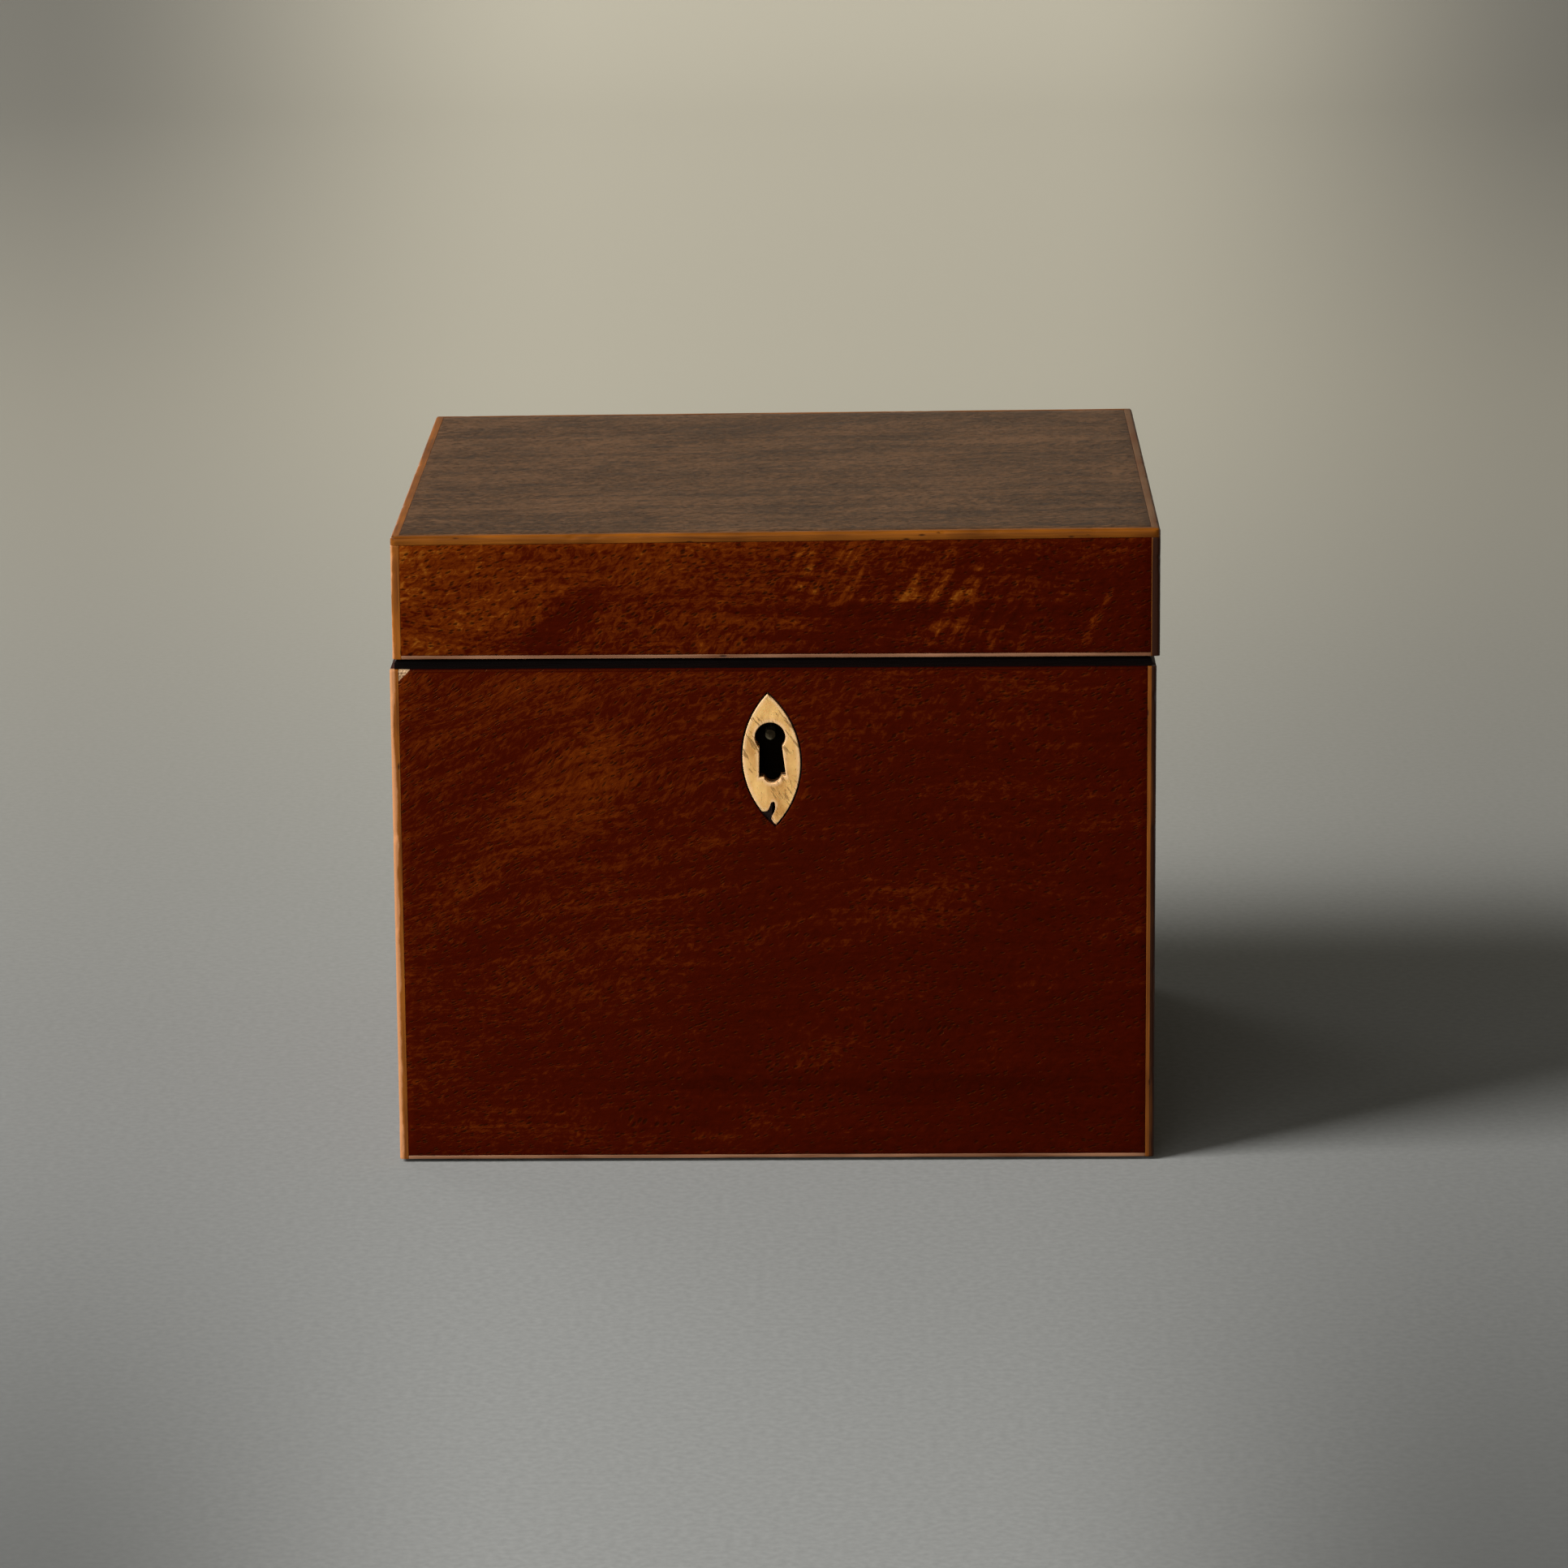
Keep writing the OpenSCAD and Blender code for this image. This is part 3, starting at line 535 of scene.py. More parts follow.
def bone(name, rim=False):
    """Old bone: cream with deeper clouds, short brown canals along it, and a few slanting stains.

    With rim, the paler, rosier worn edge follows the piece's own distance from its edges.
    """
    look = bpy.context.scene.tea_caddy
    r = Recipe(name, (Z, X, Y), specular_ior_level=0.35, subsurface_weight=0.08, subsurface_scale=0.5 * MM)
    clouds = r.noise(r.scaled((4 * MM, 2.6 * MM, 3 * MM)), 4, 0.6)
    colour = r.ramp(clouds, [(0.3, tuple(look.bone_deep)), (0.68, tuple(look.bone_pale))])
    if rim:
        distance = r.add("Attribute", {"attribute_name": "from_edge"}).outputs["Fac"]
        ragged = r.sum("MULTIPLY_ADD", clouds, -0.7 * MM, distance)
        colour = r.blend(r.step(ragged, -0.2 * MM, 0.5 * MM, 0.55, 0), colour, tuple(look.bone_edge))
    distance, chance = r.cells(r.scaled((0.9 * MM, 0.16 * MM, 0.16 * MM)))
    canal = r.sum("MULTIPLY", r.step(distance, 0.12, 0.35, 1, 0), r.sum("GREATER_THAN", chance, 0.7))
    colour = r.blend(r.sum("MULTIPLY", canal, 0.3), colour, tuple(look.bone_stain))
    strokes = r.noise(r.scaled((2.4 * MM, 0.45 * MM, 2 * MM), turn=-0.6, shift=(0.013, 0.021, 0)), 3, 0.6)
    few = r.step(r.noise(r.scaled((3.4 * MM, 3.4 * MM, 3 * MM), shift=(0.3, 0, 0)), 1), 0.4, 0.52)
    stain = r.sum("MULTIPLY", r.step(strokes, 0.54, 0.64), few)
    colour = r.blend(r.sum("MULTIPLY", stain, 0.85), colour, tuple(look.bone_stain))
    height = r.sum("SUBTRACT", r.sum("MULTIPLY", clouds, 0.6), r.sum("ADD", canal, stain))
    return r.finish(colour, r.sum("MULTIPLY_ADD", clouds, 0.2, 0.28), height, 0.03 * MM)


def plain_wood(name, axes, dark, light, rough=0.6, coarse=1.0, specular=0.25, glue_and_shade=None):
    """Sawn wood: growth lines along the board, fine fibre, and grime.

    glue_and_shade is a place along the normal: the wood in front of it is painted near-black, for old dark glue
    and for painted shade in the hollow where the chip was lost.
    """
    r = Recipe(name, axes, specular_ior_level=specular)
    bend = r.noise(r.scaled((50 * MM, 20 * MM, 20 * MM)), 2)
    across = r.sum("MULTIPLY_ADD", bend, 6 * MM, r.across)
    place = r.add("CombineXYZ", X=r.along, Y=across, Z=r.normal).outputs[0]
    lines = r.noise(r.scaled((70 * MM, 1.6 * MM * coarse, 3 * MM), place=place), 3, 0.6)
    fibre = r.noise(r.scaled((6 * MM, 0.25 * MM, 0.4 * MM), place=place), 2, 0.6)
    grime = r.noise(r.scaled((16 * MM, 16 * MM, 16 * MM)), 3, 0.6)
    tone = r.sum("MULTIPLY_ADD", fibre, 0.5, r.sum("MULTIPLY_ADD", lines, 0.9, -0.2))
    tone = r.sum("MULTIPLY_ADD", r.sum("SUBTRACT", grime, 0.5), 0.7, tone)
    colour = r.ramp(tone, [(0.15, dark), (0.85, light)])
    # old dark glue and painted shade on the board's front face
    if glue_and_shade is not None:
        colour = r.blend(r.sum("LESS_THAN", r.normal, glue_and_shade), colour,
                         tuple(bpy.context.scene.tea_caddy.mahogany_pore))
    return r.finish(colour, r.sum("MULTIPLY_ADD", fibre, 0.15, rough - 0.07), fibre, 0.05 * MM)


def metal(name, clean, tarnish, axes=(X, Y, Z), rough=0.34, share=0.5, shaded_inside=None):
    """Old metal: filed along one way, with clouds of tarnish and dark specks.

    share is how much of it stays clean. shaded_inside is a place across and one along the normal: what lies
    below both is painted almost black, painted shade inside the lock behind the keyhole.
    """
    r = Recipe(name, axes, metallic=1.0)
    file_marks = r.noise(r.scaled((6 * MM, 0.12 * MM, 0.12 * MM)), 2, 0.6)
    clouds = r.noise(r.scaled((4 * MM, 4 * MM, 4 * MM)), 4, 0.65)
    specks = r.noise(r.scaled((0.6 * MM, 0.6 * MM, 0.6 * MM)), 3, 0.6)
    dull = r.step(clouds, share - 0.16, share + 0.16)
    colour = r.blend(dull, clean, tarnish)
    colour = r.blend(r.step(specks, 0.62, 0.74), colour, tuple(c * 0.35 for c in tarnish))
    if shaded_inside:
        front_of, below = shaded_inside
        # painted shade: what lies below and behind both places is painted almost black
        inside = r.sum("MULTIPLY", r.sum("LESS_THAN", r.across, front_of), r.sum("LESS_THAN", r.normal, below))
        colour = r.blend(inside, colour, tuple(c * 0.02 for c in tarnish))
    gloss = r.sum("MULTIPLY_ADD", dull, 0.2, r.sum("MULTIPLY_ADD", file_marks, 0.12, rough - 0.06))
    return r.finish(colour, gloss, r.sum("MULTIPLY_ADD", specks, 0.5, file_marks), 0.015 * MM)


def baize(name, colour_a, colour_b):
    """Felted wool: tangled fibres, slightly worn, with a soft sheen."""
    r = Recipe(name, sheen_weight=0.4, specular_ior_level=0.1)
    r.shader.inputs["Sheen Tint"].default_value = (*colour_b, 1)
    fibres = r.noise(r.scaled((0.5 * MM, 0.5 * MM, 0.5 * MM)), 4, 0.7, 1.5)
    worn = r.noise(r.scaled((18 * MM, 18 * MM, 18 * MM)), 3, 0.55)
    tone = r.sum("MULTIPLY_ADD", fibres, 0.9, r.sum("MULTIPLY_ADD", worn, 0.6, -0.25))
    return r.finish(r.ramp(tone, [(0.2, colour_a), (0.85, colour_b)]), r.step(fibres, 0, 1, 0.85, 1.0),
                    fibres, 0.2 * MM)


def lead(name):
    """Dull lead foil: grey with pale oxide clouds and fine creases."""
    look = bpy.context.scene.tea_caddy
    r = Recipe(name, metallic=1.0)
    clouds = r.noise(r.scaled((9 * MM, 9 * MM, 9 * MM)), 4, 0.6)
    creases = r.noise(r.scaled((5 * MM, 5 * MM, 5 * MM), shift=(0.2, 0.1, 0)), 3, 0.55, 1.2)
    fold = r.step(r.sum("ABSOLUTE", r.sum("SUBTRACT", creases, 0.5)), 0.0, 0.03, 1, 0)
    grey = tuple(look.foil)
    colour = r.ramp(clouds, [(0.3, tuple(c * 0.5 for c in grey)), (0.75, grey)])
    colour = r.blend(r.sum("MULTIPLY", fold, 0.35), colour, tuple(min(1, c * 1.5) for c in grey))
    return r.finish(colour, r.sum("MULTIPLY_ADD", clouds, 0.25, 0.38), fold, 0.08 * MM)


def painted_floor_shade(r, cloth, base):
    """Paints shade on the floor towards both sides of a wedge that widens to the rear: a painted falloff of
    light.

    The wedge's half width grows evenly with the distance from the front, as the camera's field does. The
    painted shade is a smooth step of the distance sideways divided by that half width, weaker beside the caddy
    than before and behind it, and it fades out far to the sides and far in front.
    """
    sideways = r.sum("ABSOLUTE", r.along)
    widening, at_caddy, least = 0.123, 0.127, 0.08
    room = r.sum("MAXIMUM", r.sum("MULTIPLY_ADD", r.across, widening, at_caddy), least)
    ends = r.sum("MAXIMUM", r.step(r.across, -0.3, -0.02, 1, 0), r.step(r.across, 0.1, 1.7))
    edge = r.sum("MULTIPLY", r.step(r.sum("DIVIDE", sideways, room), 0.3, 1.0),
                 r.sum("MULTIPLY_ADD", ends, 0.65, 0.3))
    near_by = r.sum("MULTIPLY", r.step(sideways, 0.4, 1.2, 1, 0), r.step(r.across, -0.9, -0.4))
    edge = r.sum("MULTIPLY", edge, near_by)
    # painted shade: at the wedge's sides the floor goes up to 0.85 of the way towards 0.3 of its colour
    return r.blend(r.sum("MULTIPLY", edge, 0.85), cloth, tuple(c * 0.3 for c in base))


def cloth_grey(name):
    """The pale floor with its painted shade at the sides, painted lighter towards the backdrop, which is
    painted darker upwards.
    """
    look = bpy.context.scene.tea_caddy
    r = Recipe(name, specular_ior_level=0.1)
    grain = r.noise(r.scaled((1.2 * MM, 1.2 * MM, 1.2 * MM)), 2, 0.5)
    base = tuple(look.floor)
    colour = r.ramp(grain, [(0.3, tuple(c * 0.93 for c in base)), (0.7, tuple(c * 1.07 for c in base))])
    # painted light: towards the back, the floor's colour turns into the brighter, warmer backdrop colour
    behind = r.step(r.across, -0.12, 0.75)
    # painted shade: the backdrop is painted darker upwards, down to 0.38 of its colour
    wall = r.blend(r.step(r.normal, 0.15, 0.5), tuple(look.backdrop), tuple(c * 0.38 for c in look.backdrop))
    colour = painted_floor_shade(r, r.blend(behind, colour, wall), base)
    r.shader.inputs["Roughness"].default_value = 0.9
    return r.finish(colour)


# ---- settings ----

def colour(name, about, default):
    return FloatVectorProperty(name=name, description=about, default=default, size=3, subtype="COLOR",
                               min=0, max=1)


class TeaCaddySettings(bpy.types.PropertyGroup):
    """Sizes and colours of the caddy's finish."""

    ease: FloatProperty(name="Edge easing", description="Radius of the small eased edges of veneer and strings",
                        default=0.08 * MM, unit="LENGTH", precision=5)
    unevenness: FloatProperty(name="Unevenness", description="How far a hand-worked face is from flat",
                              default=0.05 * MM, unit="LENGTH", precision=5)
    arris: FloatProperty(name="Worn arris", description="Radius of the strings' outer edges",
                         default=0.45 * MM, unit="LENGTH", precision=5)
    glue_gap: FloatProperty(name="Glue line", description="Width of the dark line round the escutcheon",
                            default=0.26 * MM, unit="LENGTH", precision=5)
    mahogany_dark: colour("Mahogany, dark", "Darkest wood between the pores", (0.022, 0.0008, 0.0001))
    mahogany_mid: colour("Mahogany, middle", "Usual colour of the veneer", (0.039, 0.0017, 0.0002))
    mahogany_light: colour("Mahogany, light", "Colour of the lighter figure", (0.112, 0.0175, 0.0009))
    mahogany_bright: colour("Mahogany, brightest", "Colour where the figure shines", (0.23, 0.068, 0.006))
    mahogany_pore: colour("Pores", "Colour of pores and dirt", (0.012, 0.0016, 0.0004))
    top_dark: colour("Lid top, dark", "Darker streaks of the faded top", (0.016, 0.006, 0.0025))
    top_mid: colour("Lid top, middle", "Ground of the faded top", (0.05, 0.021, 0.0065))
    top_light: colour("Lid top, light", "Lighter streaks of the faded top", (0.11, 0.05, 0.02))
    polish_tint: colour("Polish tint", "Tint of the reflection seen straight on", (1.0, 0.25, 0.02))
    boxwood_dark: colour("Boxwood, dark", "Darker streaks of the edging", (0.09, 0.022, 0.002))
    boxwood_light: colour("Boxwood, light", "Ground colour of the edging", (0.24, 0.07, 0.005))
    fine_string: colour("Fine strings", "Duller line along the lower edges", (0.22, 0.1, 0.05))
    # rubbed bare wood and a painted highlight along the left-hand corners
    string_wear_and_highlight: colour("Rubbed strings", "Whitish bare wood along the left-hand corners", (0.45, 0.2, 0.085))
    # painted shade on the strings' right-hand side, away from the lamp
    string_shade: colour("Dirt", "Grime and old polish on the edging", (0.022, 0.005, 0.001))
    bone_deep: colour("Bone, deep", "Yellower bone", (0.5, 0.24, 0.06))
    bone_pale: colour("Bone, pale", "Paler bone", (0.8, 0.48, 0.16))
    bone_edge: colour("Bone, edge", "Rosier worn edge of the inlay", (0.8, 0.52, 0.29))
    bone_stain: colour("Bone, stains", "Brown canals and stains", (0.24, 0.12, 0.03))
    carcase_dark: colour("Boards, dark", "Dark lines in the boards", (0.1, 0.04, 0.014))
    carcase_light: colour("Boards, light", "Ground of the boards", (0.3, 0.15, 0.06))
    # dirt and painted shade: the rim strips in the gap under the lid are painted almost black
    rim_dirt_and_shade_deep: colour("Rim, dark", "Darkest dirt on the rim", (0.0008, 0.0003, 0.0002))
    rim_dirt_and_shade_pale: colour("Rim, light", "Lighter wood of the dirty rim", (0.004, 0.001, 0.0005))
    brass: colour("Brass", "Clean brass", (0.55, 0.36, 0.13))
    brass_tarnish: colour("Brass, tarnished", "Tarnish on the brass", (0.16, 0.09, 0.03))
    steel: colour("Steel", "Clean steel", (0.4, 0.38, 0.35))
    steel_tarnish: colour("Steel, tarnished", "Rust and old oil on the steel", (0.1, 0.07, 0.05))
    key_pin: colour("Key pin", "Clean end of the key pin", (0.34, 0.3, 0.19))
    key_pin_tarnish: colour("Key pin, tarnished", "Rust on the key pin", (0.03, 0.022, 0.012))
    foil: colour("Foil", "Lead foil", (0.42, 0.42, 0.42))
    baize: colour("Baize", "Green wool", (0.03, 0.085, 0.036))
    floor: colour("Floor", "The stage's floor", (0.215, 0.217, 0.208))
    backdrop: colour("Backdrop", "The stage where it sweeps up behind the caddy", (0.4, 0.372, 0.298))
    window_power: FloatProperty(name="Window light", description="Power of the soft light", default=46.0,
                                unit="POWER")
    front_power: FloatProperty(name="Front fill", description="Power of the low fill light in front",
                               default=14.0, unit="POWER")
    back_power: FloatProperty(name="Back fill", description="Power of each weak light behind and right",
                              default=8.0, unit="POWER")
    backdrop_power: FloatProperty(name="Backdrop light", description="Power of the light on the backdrop",
                                  default=26.0, unit="POWER")
    fill: FloatProperty(name="Fill", description="Brightness of the surroundings", default=0.055, min=0)
    fill_colour: colour("Fill colour", "Colour of the surroundings", (1.0, 0.88, 0.45))


def put(material, *nodes):
    """Gives CAD nodes a finish."""
    for name in nodes:
        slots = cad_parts[name].data.materials
        slots.clear()
        slots.append(material)


# ---- pieces ----

class CADDY_OT_body_veneers(bpy.types.Operator):
    """Veneers of the body: the front pierced for the escutcheon, two sides and the back"""

    bl_idname = "tea_caddy.body_veneers"
    bl_label = "Body veneers"

    def execute(self, context):
        look = context.scene.tea_caddy
        height = box("front_veneer")[1][Z]
        # dirt and painted shade: a thin band along the veneer's top edge, in the gap under the lid, is painted
        # darker
        shade_and_dirt_under_lid = ((0, height), (400 * MM, 0.55 * MM), 0.0, -0.45)
        # the body front is painted lighter towards the left and the top: partly the wood, partly painted light
        # from the lamp on the left
        front = mahogany("mahogany_front", (X, Z, Y), light=0.36, tone_and_light_drift=(-1.2, 1.8), origin=(0.0, height / 2),
                         bow=(14 * MM, 4.2, height), clouds=(
                             shade_and_dirt_under_lid,
                             ((-32 * MM, 0.76 * height), (18 * MM, 9 * MM), 0.6, 0.14),
                             ((-48 * MM, 0.57 * height), (10 * MM, 3 * MM), 0.7, 0.1),
                             ((20 * MM, 0.16 * height), (70 * MM, 2 * MM), 0.0, -0.14)))
        side = mahogany("mahogany_side", (Y, Z, X), light=0.42, bow=(10 * MM, 3.0, height),
                        clouds=(shade_and_dirt_under_lid,))
        low, high = box("front_veneer")
        thickness = high[Y] - low[Y]
        patch_low, patch_high = box("corner_patch")
        outline = np.array([[low[X], low[Z]], [high[X], low[Z]], [high[X], high[Z]],
                            [patch_high[X], high[Z]], [low[X], patch_low[Z]]])
        oval = escutcheon_oval(look.glue_gap)
        centre = escutcheon_place(np.array([[0.0, -OVAL_DROP]]))[0]
        angles = ring_angles(260, centre, outline, oval[[0, len(oval) // 2]])
        points, faces = front_ring(ring(reach(oval, centre, angles), reach(outline, centre, angles),
                                        rim_section(thickness, look.ease, 36)), low[Y])
        at_face = points[..., Y] < low[Y] + look.ease
        points[..., Y] += at_face * (1 + waves(points, 15 * MM, 11)) / 2 * look.unevenness
        new_piece("body_front_veneer", [(points, faces)], "caddy_body", front, "mahogany_veneer",
                  "front_veneer")
        for name, seed in (("right", 12), ("left", 13)):
            low, high = box(name + "_veneer")
            shape = bar(low, high, Y, seed, steps=(40, 28, 1), depth=look.unevenness)
            new_piece(f"body_{name}_veneer", [shape], "caddy_body", side, "mahogany_veneer", name + "_veneer")
        low, high = box("back_veneer")
        back = cut_by_bevel(bar(low, high, X, 14, steps=(40, 1, 28), depth=look.unevenness), upper=False)
        new_piece("body_back_veneer", [back], "caddy_body", front, "mahogany_veneer", "back_veneer")
        return {"FINISHED"}


class CADDY_OT_lid_veneers(bpy.types.Operator):
    """Veneers of the lid's four sides and its top"""

    bl_idname = "tea_caddy.lid_veneers"
    bl_label = "Lid veneers"

    def execute(self, context):
        look = context.scene.tea_caddy
        middle = (LID_LOW + CAP_Z) / 2
        # the lid front is painted lighter towards the left and strongly towards the top: partly the wood,
        # partly painted light
        front = mahogany("mahogany_lid_front", (X, Z, Y), light=0.46, tone_and_light_drift=(-3.2, 6.0), origin=(0.0, middle),
                         contrast=1.3,
                         clouds=(((-33 * MM, middle - 4 * MM), (12 * MM, 5 * MM), 0.7, -0.24),
                                 ((26 * MM, middle - 2 * MM), (40 * MM, 2.2 * MM), 0.0, -0.2)),
                         flame=(1.08, (((16 * MM, middle + 4 * MM), (18 * MM, 9 * MM), 0.0, 0.4),
                                       ((32 * MM, middle - 3 * MM), (13 * MM, 9 * MM), 0.0, 0.36),
                                       ((50 * MM, middle - 2 * MM), (7 * MM, 9 * MM), 0.0, 0.34))))
        side = mahogany("mahogany_lid_side", (Y, Z, X), light=0.45)
        top = mahogany("mahogany_lid_top", (X, Y, Z), light=0.46, contrast=2.3, pores=0.7, specular=0.2,
                       roughness=0.42, tones=[tuple(look.top_dark), tuple(look.top_mid), tuple(look.top_light),
                                              tuple(look.top_light)])
        low, high = box("lid_front_veneer")
        high[Z] = CAP_Z
        shape = with_slope(bar(low, high, X, 21, steps=(60, 1, 12), depth=look.unevenness), stretched=True)
        new_piece("lid_front_veneer_polished", [shape], "lid", front, "mahogany_veneer", "lid_front_veneer")
        for name, seed in (("right", 22), ("left", 23)):
            low, high = box(f"lid_{name}_veneer")
            high[Z] = CAP_Z
            shape = bar(low, high, Y, seed, steps=(50, 12, 1), depth=look.unevenness)
            new_piece(f"lid_{name}_veneer_polished", [with_slope(shape, stretched=True)], "lid", side,
                      "mahogany_veneer", f"lid_{name}_veneer")
        low, high = box("lid_back_veneer")
        low[Z], high[Z] = box("lid_front_veneer")[0][Z], CAP_Z
        shape = cut_by_bevel(bar(low, high, X, 24, steps=(200, 1, 12), depth=look.unevenness), upper=True)
        new_piece("lid_back_veneer_polished", [with_slope(shape, stretched=True)], "lid", front,
                  "mahogany_veneer", "lid_back_veneer")
        low, high = box("lid_top_veneer")
        low[Z], high[Z] = CAP_Z, CAP_Z + STRING
        shape = with_slope(bar(low, high, X, 25, steps=(60, 50, 1), depth=look.unevenness, wave=30 * MM))
        new_piece("lid_top_veneer_polished", [shape], "lid", top, "mahogany_top", "lid_top_veneer")
        return {"FINISHED"}


class CADDY_OT_strings(bpy.types.Operator):
    """Boxwood strings on the corners, round the lid's top, and along the lower edges"""

    bl_idname = "tea_caddy.strings"
    bl_label = "Boxwood strings"

    def execute(self, context):
        look = context.scene.tea_caddy
        ease, arris = look.ease, look.arris
        half_width = box("corner_string_front_right")[1][X]
        # upright strings: rubbed wear with a painted highlight on the left-hand edge, painted shade on the
        # right-hand edge
        upright = boxwood("boxwood_upright", (Z, X, Y), specular=0.15, wear_and_highlight_to=-half_width + 0.42 * MM,
                          shaded_side=(half_width - 1.0 * MM, half_width - 0.7 * MM))
        across = boxwood("boxwood_across", (X, Y, Z), tone=0.72, specular=0.08)
        deep = boxwood("boxwood_deep", (Y, X, Z), tone=0.85, specular=0.12)
        faded = boxwood("boxwood_faded", (Y, X, Z), specular=0.12, ground=tuple(look.top_light))
        pinkish = boxwood("boxwood_fine", (X, Y, Z), ground=tuple(look.fine_string))
        corners = ("front_left", "front_right", "back_right", "back_left")
        for index, name in enumerate(corners):
            low, high = box("corner_string_" + name)
            radii = [ease] * 4
            radii[index] = arris
            shape = bar(low, high, Z, 31 + index, radii, nicks(31 + index, 0.15 * MM, 9, 0.3 * MM),
                        steps=(220, 1, 1), depth=look.unevenness / 2, arc=ROUND)
            new_piece("body_string_" + name, [cut_by_bevel(shape, upper=False) if "back" in name else shape],
                      "caddy_body", upright, "boxwood", "corner_string_" + name)
        shapes = []
        lid_low, lid_high = box("lid_corner_strings")
        for index, name in enumerate(corners):
            low = lid_low.copy()
            low[X] = lid_high[X] - STRING if "right" in name else lid_low[X]
            low[Y] = lid_high[Y] - STRING if "back" in name else lid_low[Y]
            high = low + STRING
            high[Z] = CAP_Z
            radii = [ease] * 4
            radii[index] = arris
            shape = bar(low, high, Z, 41 + index, radii, nicks(41 + index, 0.12 * MM, 3, 0.25 * MM),
                        steps=(70, 1, 1), depth=look.unevenness / 2, arc=ROUND)
            shape = cut_by_bevel(shape, upper=True) if "back" in name else shape
            shapes.append(with_slope(shape, stretched=True))
        new_piece("lid_corner_strings_worn", shapes, "lid", upright, "boxwood", "lid_corner_strings")
        edges = (("front", X, Y, -1, 3, across), ("right", Y, X, 1, 2, faded),
                 ("back", X, Y, 1, 2, across), ("left", Y, X, -1, 1, deep))
        for index, (name, along, outer, sign, worn, finish) in enumerate(edges):
            low = np.array([LID_X - LID_HALF_W, -LID_HALF_D, CAP_Z])
            high = np.array([LID_X + LID_HALF_W, LID_HALF_D, CAP_Z + STRING])
            if sign < 0:
                high[outer] = low[outer] + STRING
            else:
                low[outer] = high[outer] - STRING
            radii = [ease] * 4
            radii[worn] = arris
            shape = bar(low, high, along, 51 + index, radii, nicks(51 + index, 0.15 * MM, 8, 0.25 * MM),
                        ease=0.02 * MM, steps=(300, 1, 1), depth=look.unevenness / 2, arc=ROUND)
            shape = with_round_corners(mitred(shape, along, outer, sign), 0.9 * MM)
            new_piece(f"lid_edge_string_{name}", [with_slope(shape)], "lid", finish, "boxwood",
                      "lid_top_string_" + name)
        for name, node, body, sides in (("body_fine_strings", "base_strings", "caddy_body", 4),
                                        ("lid_fine_strings", "lid_base_strings", "lid", 3)):
            node_low, node_high = box(node)
            shapes = []
            for side in range(sides):
                along, outer = (X, Y) if side in (0, 3) else (Y, X)
                low, high = node_low.copy(), node_high.copy()
                if along == Y:
                    low[Y], high[Y] = box("left_veneer")[0][Y], box("left_veneer")[1][Y]
                    high[Y] = min(high[Y], HINGE[Y] + 0.5 * MM) if body == "lid" else high[Y]
                else:
                    low[X], high[X] = low[X] + STRING, high[X] - STRING
                if side in (0, 1):
                    high[outer] = low[outer] + STRING
                else:
                    low[outer] = high[outer] - STRING
                shape = bar(low, high, along, 61 + side, steps=(120, 1, 1), depth=look.unevenness)
                shapes.append(cut_by_bevel(shape, upper=True) if body == "lid" and along == Y else shape)
            new_piece(name, shapes, body, pinkish, "boxwood", node)
        return {"FINISHED"}


# Outlines of the escutcheon, measured from the key pin's axis in the oval's own leaning frame.
key_low, key_high = box("lock_key_pin")
KEY = np.array([(key_low[X] + key_high[X]) / 2, (key_low[Z] + key_high[Z]) / 2])
ESCUTCHEON_FACE = box("escutcheon")[0][Y]
LEAN = math.radians(3)
OVAL_DROP = 3.53 * MM     # from the key pin down to the oval's middle
OVAL_W = 9.05 * MM
OVAL_H = 21.15 * MM
BONE_EASE = 0.14 * MM
# The broken edge where the chip was lost: right and up from the oval's foot, in millimetres.
LOST_CHIP = np.array([
    [-1.85, 2.28], [-1.5, 2.24], [-1.18, 2.3], [-0.98, 2.55], [-0.79, 2.85], [-0.66, 3.18], [-0.54, 3.5],
    [-0.4, 3.68], [-0.23, 3.75], [-0.04, 3.72], [0.1, 3.6], [0.15, 3.2], [0.153, 2.8], [0.07, 2.4],
    [-0.05, 2.05], [-0.3, 1.6], [-0.52, 1.3], [-0.56, 1.05], [-0.45, 0.75], [-0.2, 0.35]])


def escutcheon_place(points):
    """Leans points about the key pin's axis, and moves them to it."""
    turn = np.array([[math.cos(LEAN), math.sin(LEAN)], [-math.sin(LEAN), math.cos(LEAN)]])
    return points @ turn + KEY


def oval_half(height, grow=0.0):
    """Half width of the pointed oval at a height from its middle: a circle's arc less its centre's distance."""
    radius = (OVAL_H ** 2 + OVAL_W ** 2) / (4 * OVAL_W) + grow
    return np.sqrt(np.maximum(radius ** 2 - height ** 2, 0)) - (radius - grow - OVAL_W / 2)


def escutcheon_oval(grow=0.0):
    """The whole pointed oval, anticlockwise from its upper point."""
    radius = (OVAL_H ** 2 + OVAL_W ** 2) / (4 * OVAL_W)
    tip = math.sqrt((radius + grow) ** 2 - (radius - OVAL_W / 2) ** 2)
    height = tip * np.cos(np.linspace(0, np.pi, 90))
    half = oval_half(height, grow)
    left = np.stack([-half, height - OVAL_DROP], -1)
    right = np.stack([half, height - OVAL_DROP], -1)[::-1]
    return escutcheon_place(np.concatenate([left, right[1:-1]]))


